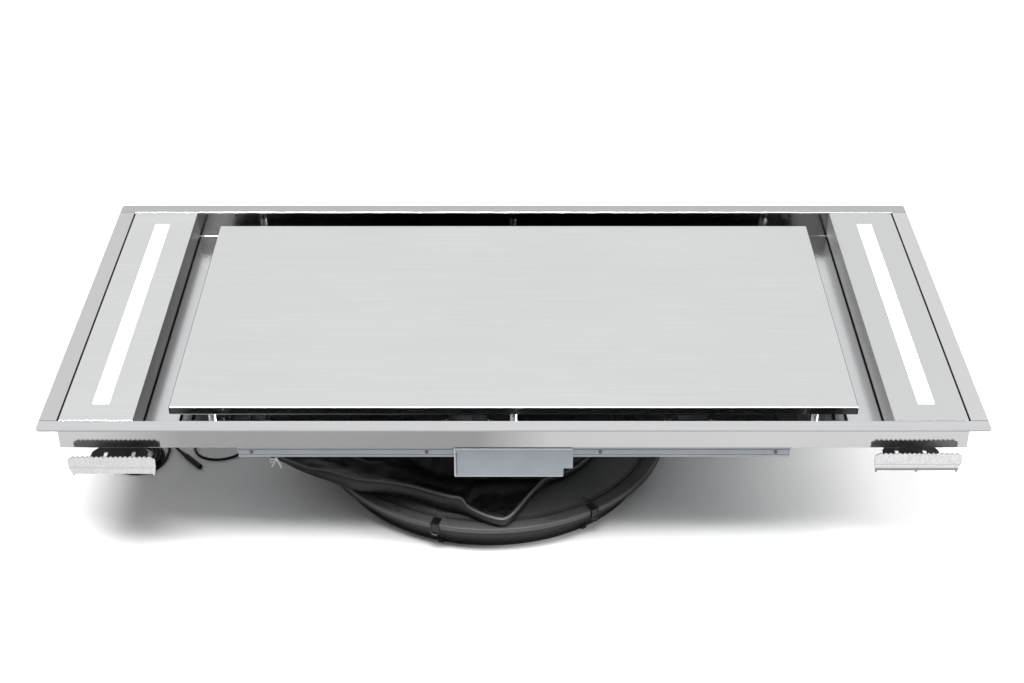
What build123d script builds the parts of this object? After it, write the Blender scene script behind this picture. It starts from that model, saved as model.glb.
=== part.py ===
from build123d import *
import math
import os

os.makedirs("parts", exist_ok=True)

# A ceiling range hood, 1200 x 600 mm, lying face up on its round blower housing.
# Z is up, X runs along the hood, the viewer stands on the -Y side, and the origin
# is the middle of the hood at the level of the surface that it stands on.
# All sizes are millimetres.

# Flange and tray
flange_length = 1200.0
flange_width = 600.0
flange_overhang = 21.0
flange_corner = 5.0
sheet = 1.2
tray_depth = 42.0
tray_corner = 3.0
bend_radius = 2.4
mouth_rounding = 1.0
opening_end = 143.0
opening_side = 57.0
opening_corner = 6.0

# Heights of the parts under the tray
housing_height = 46.0
neck_length = 80.0
plenum_depth = 68.0

# Centre panel and its posts
panel_end = 136.5
panel_side = 37.0
panel_lip = 11.0
panel_drop = 4.0
panel_corner = 2.0
panel_return = 14.0
post_radius = 6.0
post_chamfer = 0.6
post_set = 7.0
post_inset = 54.5
stud_radius = 2.0
stud_clearance = 0.1
head_radius = 3.8
head_height = 2.4
seat_gap = 0.3
stiffener_offset = 110.0
stiffener_base = 40.0
stiffener_crown = 22.0
stiffener_height = 7.0

# Hinges of the centre panel
hinge_drop = 6.0
hinge_pin_radius = 2.0
hinge_pin_end = 1.0
knuckle_radius = 3.6
knuckle_width = 6.0
cheek_width = 1.6
hinge_clearance = 0.05
leaf_length = 24.0
leaf_width = 14.0
leaf_thickness = 1.5
post_shoulder = 10.0

# Filters
filter_count = 3
filter_gap = 1.5
filter_height = 10.0
filter_sheet = 0.8
filter_border = 12.0
rack_depth = 16.0
rack_ledge = 10.0
rack_bar = 20.0
baffle_width = 20.0
baffle_pitch = 26.0
baffle_flange = 5.2
baffle_margin = 2.0
handle_wire = 1.8
handle_span = 56.0
handle_reach = 20.0
handle_corner = 6.0
handle_shift = -60.0
lug_width = 5.0
lug_height = 7.0
lug_margin = 1.2

# Light strips at the two ends
cover_width = 93.9
cover_groove = 2.3
cover_end_gap = 0.5
cover_foot_gap = 0.4
cover_lip = 15.0
cover_rounding = 0.6
slot_width = 21.3
slot_end = 60.0
slot_corner = 1.0
slot_inset = 36.0
lens_gap = 0.2
lens_flange = 2.5
lens_flange_thickness = 1.6
profile_width = 34.0
profile_height = 16.0
profile_wall = 1.5
profile_overrun = 12.0
board_width = 12.0
board_thickness = 1.6
lamp_count = 20
lamp_size = 3.5
lamp_height = 0.8
bracket_length = 40.0
bracket_width = 14.0
bracket_end = 97.3
bracket_wall = 1.5
bracket_inset = 18.0

# Plenum under the tray
plenum_flange = 20.0
plenum_taper_end = 86.0
plenum_taper_side = 42.0

# Rails and control box
rail_end = 83.5
rail_shift = 0.5
rail_height = 15.5
rail_depth = 15.0
rail_wall = 1.5
rail_inset = 3.0
rail_ridge = 0.5
rail_screw_inset = 17.5
rail_screw_middle = 111.0
rail_screw_radius = 1.5
rail_screw_head = 2.4
rail_screw_cap = 0.8
box_length = 136.0
box_x = -6.0
box_depth = 45.0
box_height = 27.0
box_sheet = 1.5
box_corner = 2.0
board_inset_x = 10.0
board_inset_y = 4.0
pillar_radius = 2.0
pillar_height = 4.0
pillar_inset_x = 15.0
pillar_inset_y = 8.0
# Blocks on the circuit board: X and Y from the middle of the box, length, width, height
board_blocks = [
    (-40.0, -6.0, 14.0, 20.0, 12.0),
    (-22.0, -6.0, 14.0, 20.0, 12.0),
    (10.0, 0.0, 28.0, 24.0, 12.0),
    (41.0, 8.0, 30.0, 9.0, 12.0),
]
capacitor_place = (41.0, -8.0)
capacitor_radius = 5.0
capacitor_height = 15.0
cover_plate_gap = 2.0
cover_plate_length = 140.0
cover_plate_drop = 44.0
cover_plate_wall = 1.5
cover_plate_tab = 12.0
cover_plate_tab_drop = 31.0
cover_plate_corner = 1.5
cover_plate_lip = 12.0
plate_fold = 3.0
plate_fold_inset = 1.0
plate_fold_height = 0.6
plate_fold_margin = 8.0
driver_length = 150.0
driver_width = 42.0
driver_height = 24.0
driver_corner = 4.0
driver_chamfer = 2.0
driver_inset = 110.0
driver_y = 30.0

# Ceiling clamps
clamp_length = 111.0
clamp_sheet = 1.5
crease_rise = 0.2
clamp_strip = 16.0
clamp_skirt = 13.0
clamp_skirt_set = 3.5
clamp_nub = 3.0
clamp_nub_width = 2.5
clamp_taper = 3.0
clamp_chamfer = 4.5
tooth_count = 17
tooth_pitch = 6.05
tooth_height = 2.2
web_front = 80.0
web_wall = 72.0
web_end = 34.0
web_tail = 14.0
web_shoulder = 30.0
web_slot_set = 22.0
web_slot_offset = 18.0
web_slot_width = 5.0
web_slot_length = 14.0
screw_reach = 60.0
screw_radius = 2.5
screw_clearance = 0.05
screw_head = 4.6
screw_head_height = 3.0
screw_flange = 6.5
screw_length = 41.0
collar_radius = 4.6
collar_height = 4.0
screw_slot_length = 16.0
screw_slot_width = 5.6
# Sides in X and Y, distance from the end of the flange, drop of the teeth under the
# flange face and their distance from the tray wall, as the four clamps happen to be set
clamp_settings = {
    "front_left": (-1, -1, 90.0, 41.0, 19.3),
    "front_right": (1, -1, 86.0, 38.3, 15.4),
    "rear_left": (-1, 1, 88.0, 40.0, 17.0),
    "rear_right": (1, 1, 88.0, 40.0, 17.0),
}

# Blower housing
drum_x = -32.0
drum_y = -9.0
base_radius = 225.0
skirt_height = 8.0
skirt_step = 2.0
skirt_draft = 0.8
nub_depth = 4.0
nub_width = 7.0
nub_drop = 2.0
rim_radius = 250.0
rim_thickness = 4.0
shoulder_radius = 244.0
housing_wall = 3.0
lid_wall = 3.0
lid_radius = 229.0
groove_width = 7.0
groove_depth = 3.5
rim_rise = 1.0
rim_drop = 6.0
rim_bevel = 1.0
inlet_radius = 98.0
inlet_lip = 11.5
inlet_wall = 2.0
clip_count = 7
clip_angle = -107.0
clip_width = 12.0
clip_wall = 2.0
clip_hook = 15.0
clip_toe = 4.0
clip_notch = 13.0
clip_notch_depth = 2.0
clip_notch_gap = 1.0
rim_slot_length = 11.0
rim_slot_width = 2.5
rim_slot_depth = 1.5
rim_slot_set = 7.0
rim_slot_turn = -14.0
volute_radius = 165.0
volute_step = 18.0
volute_wall = 2.5
volute_run = 60.0
tongue_angle = 75.0

# Blower wheel and motor
wheel_radius = 145.0
wheel_eye = 101.0
wheel_plate = 2.0
wheel_z = 11.0
blade_count = 11
blade_height = 19.5
blade_thickness = 2.0
blade_angle = 55.0
blade_sweep = 26.0
blade_inset = 3.0
blade_end = 1.0
rotor_radius = 47.0
rotor_wall = 3.0
rotor_height = 19.0
rotor_flange = 13.0
rotor_flange_thickness = 2.0
rotor_chamfer = 2.0
shaft_radius = 4.0
shaft_clearance = 0.05
stator_foot = 40.0
stator_foot_height = 5.0
stator_radius = 36.0
stator_gap = 2.0
stator_base = 2.0
shaft_gap = 1.0

# Outlet
outlet_width = 172.0
outlet_height = 29.8
outlet_wall = 1.5
outlet_start = 95.0
outlet_end = 285.0
outlet_x = 122.0
outlet_gap = 0.3
outlet_cut = 8.0
flap_y = 250.0
flap_height = 25.0
flap_thickness = 1.5
flap_pin = 1.5
flap_clearance = 0.05
flap_rise = 1.0
flap_side_gap = 0.5

# Neck between plenum and housing
neck_radius = 104.0
neck_wall = 1.5
neck_flange = 14.0
neck_screw_count = 6
neck_screw_radius = 1.9
neck_screw_head = 3.2
neck_screw_cap = 2.0
guard_wire = 1.5
guard_gap = 0.1
guard_margin = 4.0
guard_rings = 5
guard_spokes = 4

# Cloth sleeve
cloth_gap = 0.5
sleeve_foot = 46.0
sleeve_belly = 34.0
sleeve_waist = 16.0
sleeve_height = 70.0
sleeve_hem = 4.0
sleeve_tip = 10.0
sleeve_roll = 8.0
sleeve_edge = 6.0
mouth_floor = 4.0
# Corners of the open mouth, from the axis of the housing
mouth_corners = [(-26.0, -194.0), (13.0, -221.0), (58.0, -163.0), (36.0, -141.0), (-16.0, -163.0)]
tie_thickness = 2.0
tie_width = 4.0
tie_tail = 3.0
tail_length = 10.0
tail_bend = 5.0
tail_rise = 1.0
tail_drop = 5.0
tail_sheet = 1.2
knot_length = 7.0
knot_height = 5.0
knot_corner = 1.5
# Sections of the apron in front of the neck: X, front edge, back edge, height
apron_sections = [
    (-327.0, -106.0, -94.0, 9.0),
    (-300.0, -126.0, -94.0, 16.0),
    (-260.0, -142.0, -78.0, 20.0),
    (-215.0, -158.0, -60.0, 26.0),
    (-170.0, -188.0, -60.0, 30.0),
    (-120.0, -215.0, -95.0, 34.0),
    (-70.0, -222.0, -120.0, 36.0),
    (-20.0, -244.0, -130.0, 34.0),
    (35.0, -172.0, -130.0, 30.0),
]

# Lead
lead_radius = 1.9
floor_gap = 0.1
gland_radius = 7.0
gland_nut = 9.0
gland_length = 12.0
gland_chamfer = 3.6
coil_shift_x = -51.0
coil_shift_y = -98.0
coil_radius = 40.0
coil_pitch = 4.8
coil_layer = 4.5
coil_turns = 4
coil_exit_radius = 47.4
coil_exit_turn = 48.0
plug_radius = 3.8
plug_length = 36.0
plug_neck = 12.0
plug_collar = 0.6
plug_step = 0.8
plug_bevel = 1.0
exit_runs = (6.0, 12.0, 8.0)
# Bends of the lead in the air and on the floor, from the foot of its gland
lead_fall_height = 120.0
lead_bends_above = [(4.0, 0.0, 76.0), (15.0, -2.0, 38.0), (35.0, -7.0, 10.0)]
lead_bends = [
    (65.0, -18.0),
    (90.0, -40.0),
    (97.0, -70.0),
    (87.0, -95.0),
    (59.0, -108.0),
    (31.0, -96.0),
    (23.0, -66.0),
    (26.0, -38.0),
    (9.0, -21.0),
    (-14.5, -25.0),
    (-24.5, -47.0),
]
lead_last_run = 27.5

# Levels and lengths that follow from the sizes above
plenum_z = housing_height + neck_length
tray_z = plenum_z + plenum_depth
flange_z = tray_z + tray_depth
floor_z = tray_z + sheet
tray_length = flange_length - 2 * flange_overhang
tray_width = flange_width - 2 * flange_overhang
basin_length = tray_length - 2 * sheet
basin_width = tray_width - 2 * sheet
opening_length = tray_length - 2 * opening_end
opening_width = tray_width - 2 * opening_side
panel_length = tray_length - 2 * panel_end
panel_width = tray_width - 2 * panel_side
panel_z = flange_z - panel_drop
panel_foot = panel_z - panel_lip
post_y = panel_width / 2 - post_set
post_x = panel_length / 2 - post_inset
post_places = [-post_x, 0, post_x]


def write_piece(piece, name):
    """Label one finished sub-part and write it as its own STEP file."""
    piece.part.label = name
    export_step(piece.part, f"parts/{name}.step")


# Clamp screws stand at a fixed reach behind the teeth, so a clamp that is set
# further out carries its screw with it along the slot in the tray
def clamp_screw_y(side_y, reach):
    return side_y * (tray_width / 2 + reach - screw_reach)


def clamp_middle_x(side_x, inset):
    return side_x * (flange_length / 2 - inset)


# Tray with its flange, the filter opening and the holes for posts and clamps
with BuildPart() as tray:
    with BuildSketch(Plane.XY.offset(tray_z)):
        RectangleRounded(tray_length, tray_width, tray_corner)
    extrude(amount=tray_depth)
    fillet(tray.edges().group_by(Axis.Z)[0], bend_radius)
    with BuildSketch(Plane.XY.offset(flange_z - sheet)):
        RectangleRounded(flange_length, flange_width, flange_corner)
    extrude(amount=sheet)
    with BuildSketch(Plane.XY.offset(floor_z)):
        RectangleRounded(basin_length, basin_width, tray_corner - sheet)
    extrude(amount=tray_depth, mode=Mode.SUBTRACT)
    fillet(tray.edges().filter_by_position(Axis.Z, floor_z - 0.01, floor_z + 0.01), bend_radius - sheet)
    mouth_edges = [
        edge
        for edge in tray.edges().filter_by_position(Axis.Z, flange_z - 0.01, flange_z + 0.01)
        if abs(edge.center().X) < tray_length / 2 and abs(edge.center().Y) < tray_width / 2
    ]
    fillet(mouth_edges, mouth_rounding)
    with BuildSketch(Plane.XY.offset(tray_z)):
        RectangleRounded(opening_length, opening_width, opening_corner)
        with Locations(*[(x, y) for x in post_places for y in (-post_y, post_y)]):
            Circle(stud_radius + stud_clearance)
        for side_x, side_y, inset, drop, reach in clamp_settings.values():
            with Locations((clamp_middle_x(side_x, inset), clamp_screw_y(side_y, reach))):
                SlotOverall(screw_slot_length, screw_slot_width, rotation=90)
    extrude(amount=sheet, mode=Mode.SUBTRACT)
write_piece(tray, "tray")

# Filter rack: an angle frame under the tray opening with bars between the filters
rack_z = tray_z - rack_depth
rack_length = opening_length + 2 * sheet
rack_width = opening_width + 2 * sheet
filter_bay = opening_length / filter_count
bar_places = [(k - filter_count / 2) * filter_bay for k in range(1, filter_count)]
with BuildPart() as filter_rack:
    with BuildSketch(Plane.XY.offset(rack_z)):
        Rectangle(rack_length, rack_width)
        Rectangle(opening_length, opening_width, mode=Mode.SUBTRACT)
    extrude(amount=rack_depth)
    with BuildSketch(Plane.XY.offset(rack_z)):
        Rectangle(rack_length, rack_width)
        Rectangle(opening_length - 2 * rack_ledge, opening_width - 2 * rack_ledge, mode=Mode.SUBTRACT)
        with Locations(*[(x, 0) for x in bar_places]):
            Rectangle(rack_bar, rack_width)
    extrude(amount=sheet)
write_piece(filter_rack, "filter_rack")

# Plenum: a collar round the rack, a funnel below it and a flange under the tray
plenum_length = rack_length + 2 * sheet
plenum_width = rack_width + 2 * sheet
plenum_base_length = opening_length - 2 * plenum_taper_end
plenum_base_width = opening_width - 2 * plenum_taper_side
with BuildPart() as plenum_box:
    with BuildSketch(Plane.XY.offset(rack_z)):
        Rectangle(plenum_length, plenum_width)
    extrude(amount=rack_depth)
    with BuildSketch(Plane.XY.offset(tray_z - sheet)):
        Rectangle(plenum_length + 2 * plenum_flange, plenum_width + 2 * plenum_flange)
    extrude(amount=sheet)
    with BuildSketch(Plane.XY.offset(plenum_z)):
        Rectangle(plenum_base_length, plenum_base_width)
    with BuildSketch(Plane.XY.offset(rack_z)):
        Rectangle(plenum_length, plenum_width)
    loft()
    with BuildSketch(Plane.XY.offset(plenum_z + sheet)):
        Rectangle(plenum_base_length - 2 * sheet, plenum_base_width - 2 * sheet)
    with BuildSketch(Plane.XY.offset(rack_z)):
        Rectangle(rack_length, rack_width)
    loft(mode=Mode.SUBTRACT)
    with BuildSketch(Plane.XY.offset(rack_z)):
        Rectangle(rack_length, rack_width)
    extrude(amount=rack_depth, mode=Mode.SUBTRACT)
    with BuildSketch(Plane.XY.offset(plenum_z)):
        with Locations((drum_x, drum_y)):
            Circle(neck_radius - neck_wall)
            with PolarLocations(neck_radius + neck_flange / 2, neck_screw_count):
                Circle(neck_screw_radius + stud_clearance)
    extrude(amount=sheet, mode=Mode.SUBTRACT)
    with BuildSketch(Plane.XY.offset(tray_z - sheet)):
        with Locations(*[(x, y) for x in post_places for y in (-post_y, post_y)]):
            Circle(stud_radius + stud_clearance)
    extrude(amount=sheet, mode=Mode.SUBTRACT)
write_piece(plenum_box, "plenum_box")

# Baffle filters: channelled borders, two staggered rows of baffles and a bail each
filter_length = filter_bay - 2 * filter_gap
filter_width = opening_width - 2 * filter_gap
filter_z = rack_z + sheet
filter_top = filter_z + filter_height
filter_names = ("left", "centre", "right")
window_length = filter_length - 2 * filter_border
window_width = filter_width - 2 * filter_border
lug_y = -filter_width / 2 + filter_border / 2
handle_z = filter_top + lug_height - handle_wire - lug_margin
upper_count = int((window_length + filter_border) // baffle_pitch)
lug_offset = handle_span / 2 + lug_width / 2 + seat_gap
for index, name in enumerate(filter_names):
    middle = (index - (filter_count - 1) / 2) * filter_bay
    with BuildPart() as filter_frame:
        with BuildSketch(Plane.XY.offset(filter_z)):
            with Locations((middle, 0)):
                Rectangle(filter_length, filter_width)
                Rectangle(window_length, window_width, mode=Mode.SUBTRACT)
        extrude(amount=filter_height)
        with BuildSketch(Plane.XY.offset(filter_z + filter_sheet)):
            with Locations((middle, 0)):
                Rectangle(filter_length - 2 * filter_sheet, filter_width - 2 * filter_sheet)
        extrude(amount=filter_height - 2 * filter_sheet, mode=Mode.SUBTRACT)
        with BuildSketch(Plane.XY.offset(filter_top)):
            with Locations(*[(middle + handle_shift + side * lug_offset, lug_y) for side in (-1, 1)]):
                Rectangle(lug_width, 2 * lug_width)
        extrude(amount=lug_height)
        with BuildSketch(Plane.YZ.offset(middle + handle_shift)):
            with Locations((lug_y, handle_z)):
                Circle(handle_wire + hinge_clearance)
        extrude(amount=handle_span, both=True, mode=Mode.SUBTRACT)
    write_piece(filter_frame, f"filter_frame_{name}")

    # Upper baffles are channels open downwards, lower ones are open upwards
    with BuildPart() as baffles:
        rows = [
            (upper_count, filter_top - filter_sheet, -1),
            (upper_count - 1, filter_z + filter_sheet, 1),
        ]
        for count, level, way in rows:
            with BuildSketch(Plane.XZ.offset(-window_width / 2 - filter_border / 2)):
                with Locations(*[(middle + (k - (count - 1) / 2) * baffle_pitch, level) for k in range(count)]):
                    with Locations((0, way * baffle_flange / 2)):
                        Rectangle(baffle_width, baffle_flange)
                        with Locations((0, way * filter_sheet)):
                            Rectangle(baffle_width - 2 * filter_sheet, baffle_flange, mode=Mode.SUBTRACT)
            extrude(amount=window_width + filter_border)
    write_piece(baffles, f"filter_baffles_{name}")

    # The bail lies flat over the filter and turns up in its two lugs
    with BuildPart() as bail:
        with BuildLine() as bail_path:
            x_mid = middle + handle_shift
            half = handle_span / 2 - handle_wire
            FilletPolyline(
                (x_mid - half - handle_wire - lug_width, lug_y, handle_z),
                (x_mid - half, lug_y, handle_z),
                (x_mid - half, lug_y + handle_reach, handle_z),
                (x_mid + half, lug_y + handle_reach, handle_z),
                (x_mid + half, lug_y, handle_z),
                (x_mid + half + handle_wire + lug_width, lug_y, handle_z),
                radius=[handle_wire * 1.2, handle_corner, handle_corner, handle_wire * 1.2],
            )
        with BuildSketch(bail_path.line ^ 0):
            Circle(handle_wire)
        sweep(path=bail_path.line)
    write_piece(bail, f"filter_handle_{name}")

# Centre panel: a shallow folded tray turned face up, stiffened by two hat profiles
with BuildPart() as centre_panel:
    with BuildSketch(Plane.XY.offset(panel_foot)):
        RectangleRounded(panel_length, panel_width, panel_corner)
    extrude(amount=panel_lip)
    fillet(centre_panel.edges().group_by(Axis.Z)[-1], mouth_rounding)
    with BuildSketch(Plane.XY.offset(panel_foot + sheet)):
        Rectangle(panel_length - 2 * sheet, panel_width - 2 * sheet)
    extrude(amount=panel_lip - 2 * sheet, mode=Mode.SUBTRACT)
    with BuildSketch(Plane.XY.offset(panel_foot)):
        Rectangle(panel_length - 2 * panel_return, panel_width - 2 * panel_return)
    extrude(amount=sheet, mode=Mode.SUBTRACT)
write_piece(centre_panel, "centre_panel")

with BuildPart() as panel_stiffeners:
    panel_underside = panel_z - sheet
    with BuildSketch(Plane.YZ.offset(-panel_length / 2 + 2 * sheet)):
        for offset_y in (-stiffener_offset, stiffener_offset):
            with Locations((offset_y, panel_underside)):
                with Locations((0, -sheet / 2)):
                    Rectangle(stiffener_base, sheet)
                with Locations((0, -stiffener_height / 2)):
                    Rectangle(stiffener_crown, stiffener_height)
                with Locations((0, -(stiffener_height - sheet) / 2)):
                    Rectangle(stiffener_crown - 2 * sheet, stiffener_height - sheet, mode=Mode.SUBTRACT)
    extrude(amount=panel_length - 4 * sheet)
write_piece(panel_stiffeners, "panel_stiffeners")

# Three plain posts with magnets carry the front edge of the panel
with BuildPart() as panel_catches:
    with BuildSketch(Plane.XY.offset(floor_z)):
        with Locations(*[(x, -post_y) for x in post_places]):
            Circle(post_radius)
    extrude(amount=panel_foot - seat_gap - floor_z)
    chamfer(panel_catches.edges().group_by(Axis.Z)[-1], post_chamfer)
    with BuildSketch(Plane.XY.offset(floor_z)):
        with Locations(*[(x, -post_y) for x in post_places]):
            Circle(stud_radius + hinge_clearance)
    extrude(amount=post_shoulder, mode=Mode.SUBTRACT)
write_piece(panel_catches, "panel_catches")

# Three posts with forks carry the hinge pins at the rear edge
pivot_z = panel_foot - hinge_drop
fork_base = pivot_z - post_shoulder
with BuildPart() as hinge_posts:
    with BuildSketch(Plane.XY.offset(floor_z)):
        with Locations(*[(x, post_y) for x in post_places]):
            Circle(post_radius)
    extrude(amount=fork_base - floor_z)
    for x in post_places:
        for side in (-1, 1):
            cheek_x = x + side * (knuckle_width / 2 + seat_gap + cheek_width / 2)
            with BuildSketch(Plane.YZ.offset(cheek_x - cheek_width / 2)):
                with Locations((post_y, pivot_z)):
                    Circle(knuckle_radius)
                with Locations((post_y, (fork_base + pivot_z) / 2)):
                    Rectangle(2 * knuckle_radius, post_shoulder)
            extrude(amount=cheek_width)
    with BuildSketch(Plane.XY.offset(floor_z)):
        with Locations(*[(x, post_y) for x in post_places]):
            Circle(stud_radius + hinge_clearance)
    extrude(amount=post_shoulder / 2, mode=Mode.SUBTRACT)
    with BuildSketch(Plane.YZ.offset(0)):
        with Locations((post_y, pivot_z)):
            Circle(hinge_pin_radius + hinge_clearance)
    extrude(amount=panel_length / 2, both=True, mode=Mode.SUBTRACT)
write_piece(hinge_posts, "hinge_posts")

pin_length = knuckle_width + 2 * (seat_gap + cheek_width + hinge_pin_end)
with BuildPart() as hinge_pins:
    for x in post_places:
        with BuildSketch(Plane.YZ.offset(x - pin_length / 2)):
            with Locations((post_y, pivot_z)):
                Circle(hinge_pin_radius)
        extrude(amount=pin_length)
write_piece(hinge_pins, "hinge_pins")

with BuildPart() as hinge_leaves:
    with BuildSketch(Plane.XY.offset(panel_foot - leaf_thickness)):
        with Locations(*[(x, post_y) for x in post_places]):
            Rectangle(leaf_length, leaf_width)
    extrude(amount=leaf_thickness)
    for x in post_places:
        with BuildSketch(Plane.YZ.offset(x - knuckle_width / 2)):
            with Locations((post_y, pivot_z)):
                Circle(knuckle_radius)
            with Locations((post_y, (pivot_z + panel_foot) / 2)):
                Rectangle(2 * knuckle_radius, hinge_drop)
            with Locations((post_y, pivot_z)):
                Circle(hinge_pin_radius + hinge_clearance, mode=Mode.SUBTRACT)
        extrude(amount=knuckle_width)
write_piece(hinge_leaves, "hinge_leaves")

# Studs through plenum flange and tray floor into the posts
with BuildPart() as post_screws:
    for x in post_places:
        for y in (-post_y, post_y):
            with BuildSketch(Plane.XY.offset(tray_z - sheet - head_height)):
                with Locations((x, y)):
                    Circle(head_radius)
            extrude(amount=head_height)
            with BuildSketch(Plane.XY.offset(tray_z - sheet)):
                with Locations((x, y)):
                    Circle(stud_radius)
            extrude(amount=2 * sheet + post_shoulder / 2 - seat_gap)
write_piece(post_screws, "post_screws")

# Light strips: folded cover, opal lens, aluminium channel with its board
cover_x = basin_length / 2 - cover_groove - cover_width / 2
cover_length = basin_width - 2 * cover_end_gap
cover_bottom = floor_z + cover_foot_gap
slot_x = basin_length / 2 - cover_groove - slot_inset - slot_width / 2
slot_length = flange_width - 2 * slot_end
cover_underside = flange_z - sheet
lens_z = cover_underside - lens_flange_thickness
for side, name in ((-1, "left"), (1, "right")):
    with BuildPart() as light_cover:
        with BuildSketch(Plane.XY.offset(cover_bottom)):
            with Locations((side * cover_x, 0)):
                Rectangle(cover_width, cover_length)
        extrude(amount=flange_z - cover_bottom)
        fillet(light_cover.edges().group_by(Axis.Z)[-1], cover_rounding)
        with BuildSketch(Plane.XY.offset(cover_bottom)):
            with Locations((side * cover_x, 0)):
                Rectangle(cover_width - 2 * sheet, cover_length - 2 * sheet)
        extrude(amount=cover_underside - cover_bottom, mode=Mode.SUBTRACT)
        # only the wall beside the basin reaches the floor, the other three are lips
        with BuildSketch(Plane.XY.offset(cover_bottom)):
            with Locations((side * (cover_x + sheet), 0)):
                Rectangle(cover_width, cover_length + 2 * sheet)
        extrude(amount=flange_z - cover_lip - cover_bottom, mode=Mode.SUBTRACT)
        with BuildSketch(Plane.XY.offset(cover_underside)):
            with Locations((side * slot_x, 0)):
                RectangleRounded(slot_width, slot_length, slot_corner)
        extrude(amount=sheet, mode=Mode.SUBTRACT)
    write_piece(light_cover, f"light_cover_{name}")

    with BuildPart() as lens:
        with BuildSketch(Plane.XY.offset(lens_z)):
            with Locations((side * slot_x, 0)):
                Rectangle(slot_width + 2 * lens_flange, slot_length + 2 * lens_flange)
        extrude(amount=lens_flange_thickness)
        with BuildSketch(Plane.XY.offset(cover_underside)):
            with Locations((side * slot_x, 0)):
                lens_corner = slot_corner - lens_gap
                RectangleRounded(slot_width - 2 * lens_gap, slot_length - 2 * lens_gap, lens_corner)
        extrude(amount=sheet - lens_gap)
    write_piece(lens, f"light_lens_{name}")

    profile_z = cover_underside - profile_height
    profile_length = slot_length + 2 * profile_overrun
    with BuildPart() as profile:
        with BuildSketch(Plane.XZ.offset(-profile_length / 2)):
            with Locations((side * slot_x, profile_z + profile_height / 2)):
                Rectangle(profile_width, profile_height)
                with Locations((0, profile_wall / 2)):
                    Rectangle(slot_width, profile_height - profile_wall, mode=Mode.SUBTRACT)
                for rib in (-1, 1):
                    rib_width = (profile_width - slot_width) / 2 - 2 * profile_wall
                    with Locations((rib * (slot_width / 2 + profile_wall + rib_width / 2), -profile_wall)):
                        Rectangle(rib_width, profile_height / 2, mode=Mode.SUBTRACT)
        extrude(amount=profile_length)
        with BuildSketch(Plane.XY.offset(lens_z - lens_gap)):
            with Locations((side * slot_x, 0)):
                lens_edge = 2 * (lens_flange + lens_gap)
                Rectangle(slot_width + lens_edge, slot_length + lens_edge)
        extrude(amount=lens_flange_thickness + lens_gap, mode=Mode.SUBTRACT)
    write_piece(profile, f"light_profile_{name}")

with BuildPart() as light_boards:
    lamp_board_z = cover_underside - profile_height + profile_wall
    for side in (-1, 1):
        with BuildSketch(Plane.XY.offset(lamp_board_z)):
            with Locations((side * slot_x, 0)):
                Rectangle(board_width, slot_length)
        extrude(amount=board_thickness)
        with BuildSketch(Plane.XY.offset(lamp_board_z + board_thickness)):
            with Locations((side * slot_x, 0)):
                with GridLocations(0, slot_length / lamp_count, 1, lamp_count):
                    Rectangle(lamp_size, lamp_size)
        extrude(amount=lamp_height)
write_piece(light_boards, "light_boards")

# Folded brackets between the tray floor and the outer edge of the covers
with BuildPart() as cover_brackets:
    bracket_height = cover_underside - floor_z
    bracket_y = cover_length / 2 - bracket_end
    for side in (-1, 1):
        for y in (-bracket_y, bracket_y):
            with BuildSketch(Plane.XZ.offset(-y - bracket_length / 2)):
                with Locations((side * (basin_length / 2 - bracket_inset), floor_z + bracket_height / 2)):
                    Rectangle(bracket_width, bracket_height)
                    with Locations((side * bracket_wall, 0)):
                        Rectangle(bracket_width, bracket_height - 2 * bracket_wall, mode=Mode.SUBTRACT)
            extrude(amount=bracket_length)
write_piece(cover_brackets, "cover_brackets")

# Channel rails under the long edges of the tray, with three ridges on the face
rail_face = tray_width / 2 - rail_inset
rail_z = tray_z - rail_height
rail_length = opening_length - 2 * rail_end
rail_screw_outer = rail_length / 2 - rail_screw_inset
rail_screws = (-rail_screw_outer, -rail_screw_middle, rail_screw_middle, rail_screw_outer)
with BuildPart() as chassis_rails:
    for side in (-1, 1):
        with BuildSketch(Plane.YZ.offset(rail_shift - rail_length / 2)):
            with Locations((side * (rail_face - rail_depth / 2), rail_z + rail_height / 2)):
                Rectangle(rail_depth, rail_height)
                with Locations((-side * rail_wall, 0)):
                    Rectangle(rail_depth, rail_height - 2 * rail_wall, mode=Mode.SUBTRACT)
            with Locations(*[(side * rail_face, rail_z + rail_height * k / 4) for k in (1, 3)]):
                Rectangle(2 * rail_ridge, 2 * rail_ridge, mode=Mode.SUBTRACT)
        extrude(amount=rail_length)
    with BuildSketch(Plane.XZ):
        with Locations(*[(x, rail_z + rail_height / 2) for x in rail_screws]):
            Circle(rail_screw_radius + stud_clearance)
    extrude(amount=tray_width, both=True, mode=Mode.SUBTRACT)
write_piece(chassis_rails, "chassis_rails")

with BuildPart() as rail_screw_set:
    for side in (-1, 1):
        for x in rail_screws:
            with BuildSketch(Plane.XZ.offset(side * rail_face)):
                with Locations((x, rail_z + rail_height / 2)):
                    Circle(rail_screw_head)
            extrude(amount=side * rail_screw_cap)
            with BuildSketch(Plane.XZ.offset(side * rail_face)):
                with Locations((x, rail_z + rail_height / 2)):
                    Circle(rail_screw_radius)
            extrude(amount=-side * 3 * rail_wall)
write_piece(rail_screw_set, "rail_screws")

# Control box under the front rail: shell, circuit board and folded front plate
box_front = -rail_face + seat_gap
box_y = box_front + box_depth / 2
box_z = rail_z - box_height
with BuildPart() as control_box:
    with BuildSketch(Plane.XY.offset(box_z)):
        with Locations((box_x, box_y)):
            RectangleRounded(box_length, box_depth, box_corner)
    extrude(amount=box_height)
    with BuildSketch(Plane.XY.offset(box_z + box_sheet)):
        with Locations((box_x, box_y)):
            Rectangle(box_length - 2 * box_sheet, box_depth - 2 * box_sheet)
    extrude(amount=box_height - 2 * box_sheet, mode=Mode.SUBTRACT)
write_piece(control_box, "control_box")

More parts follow.
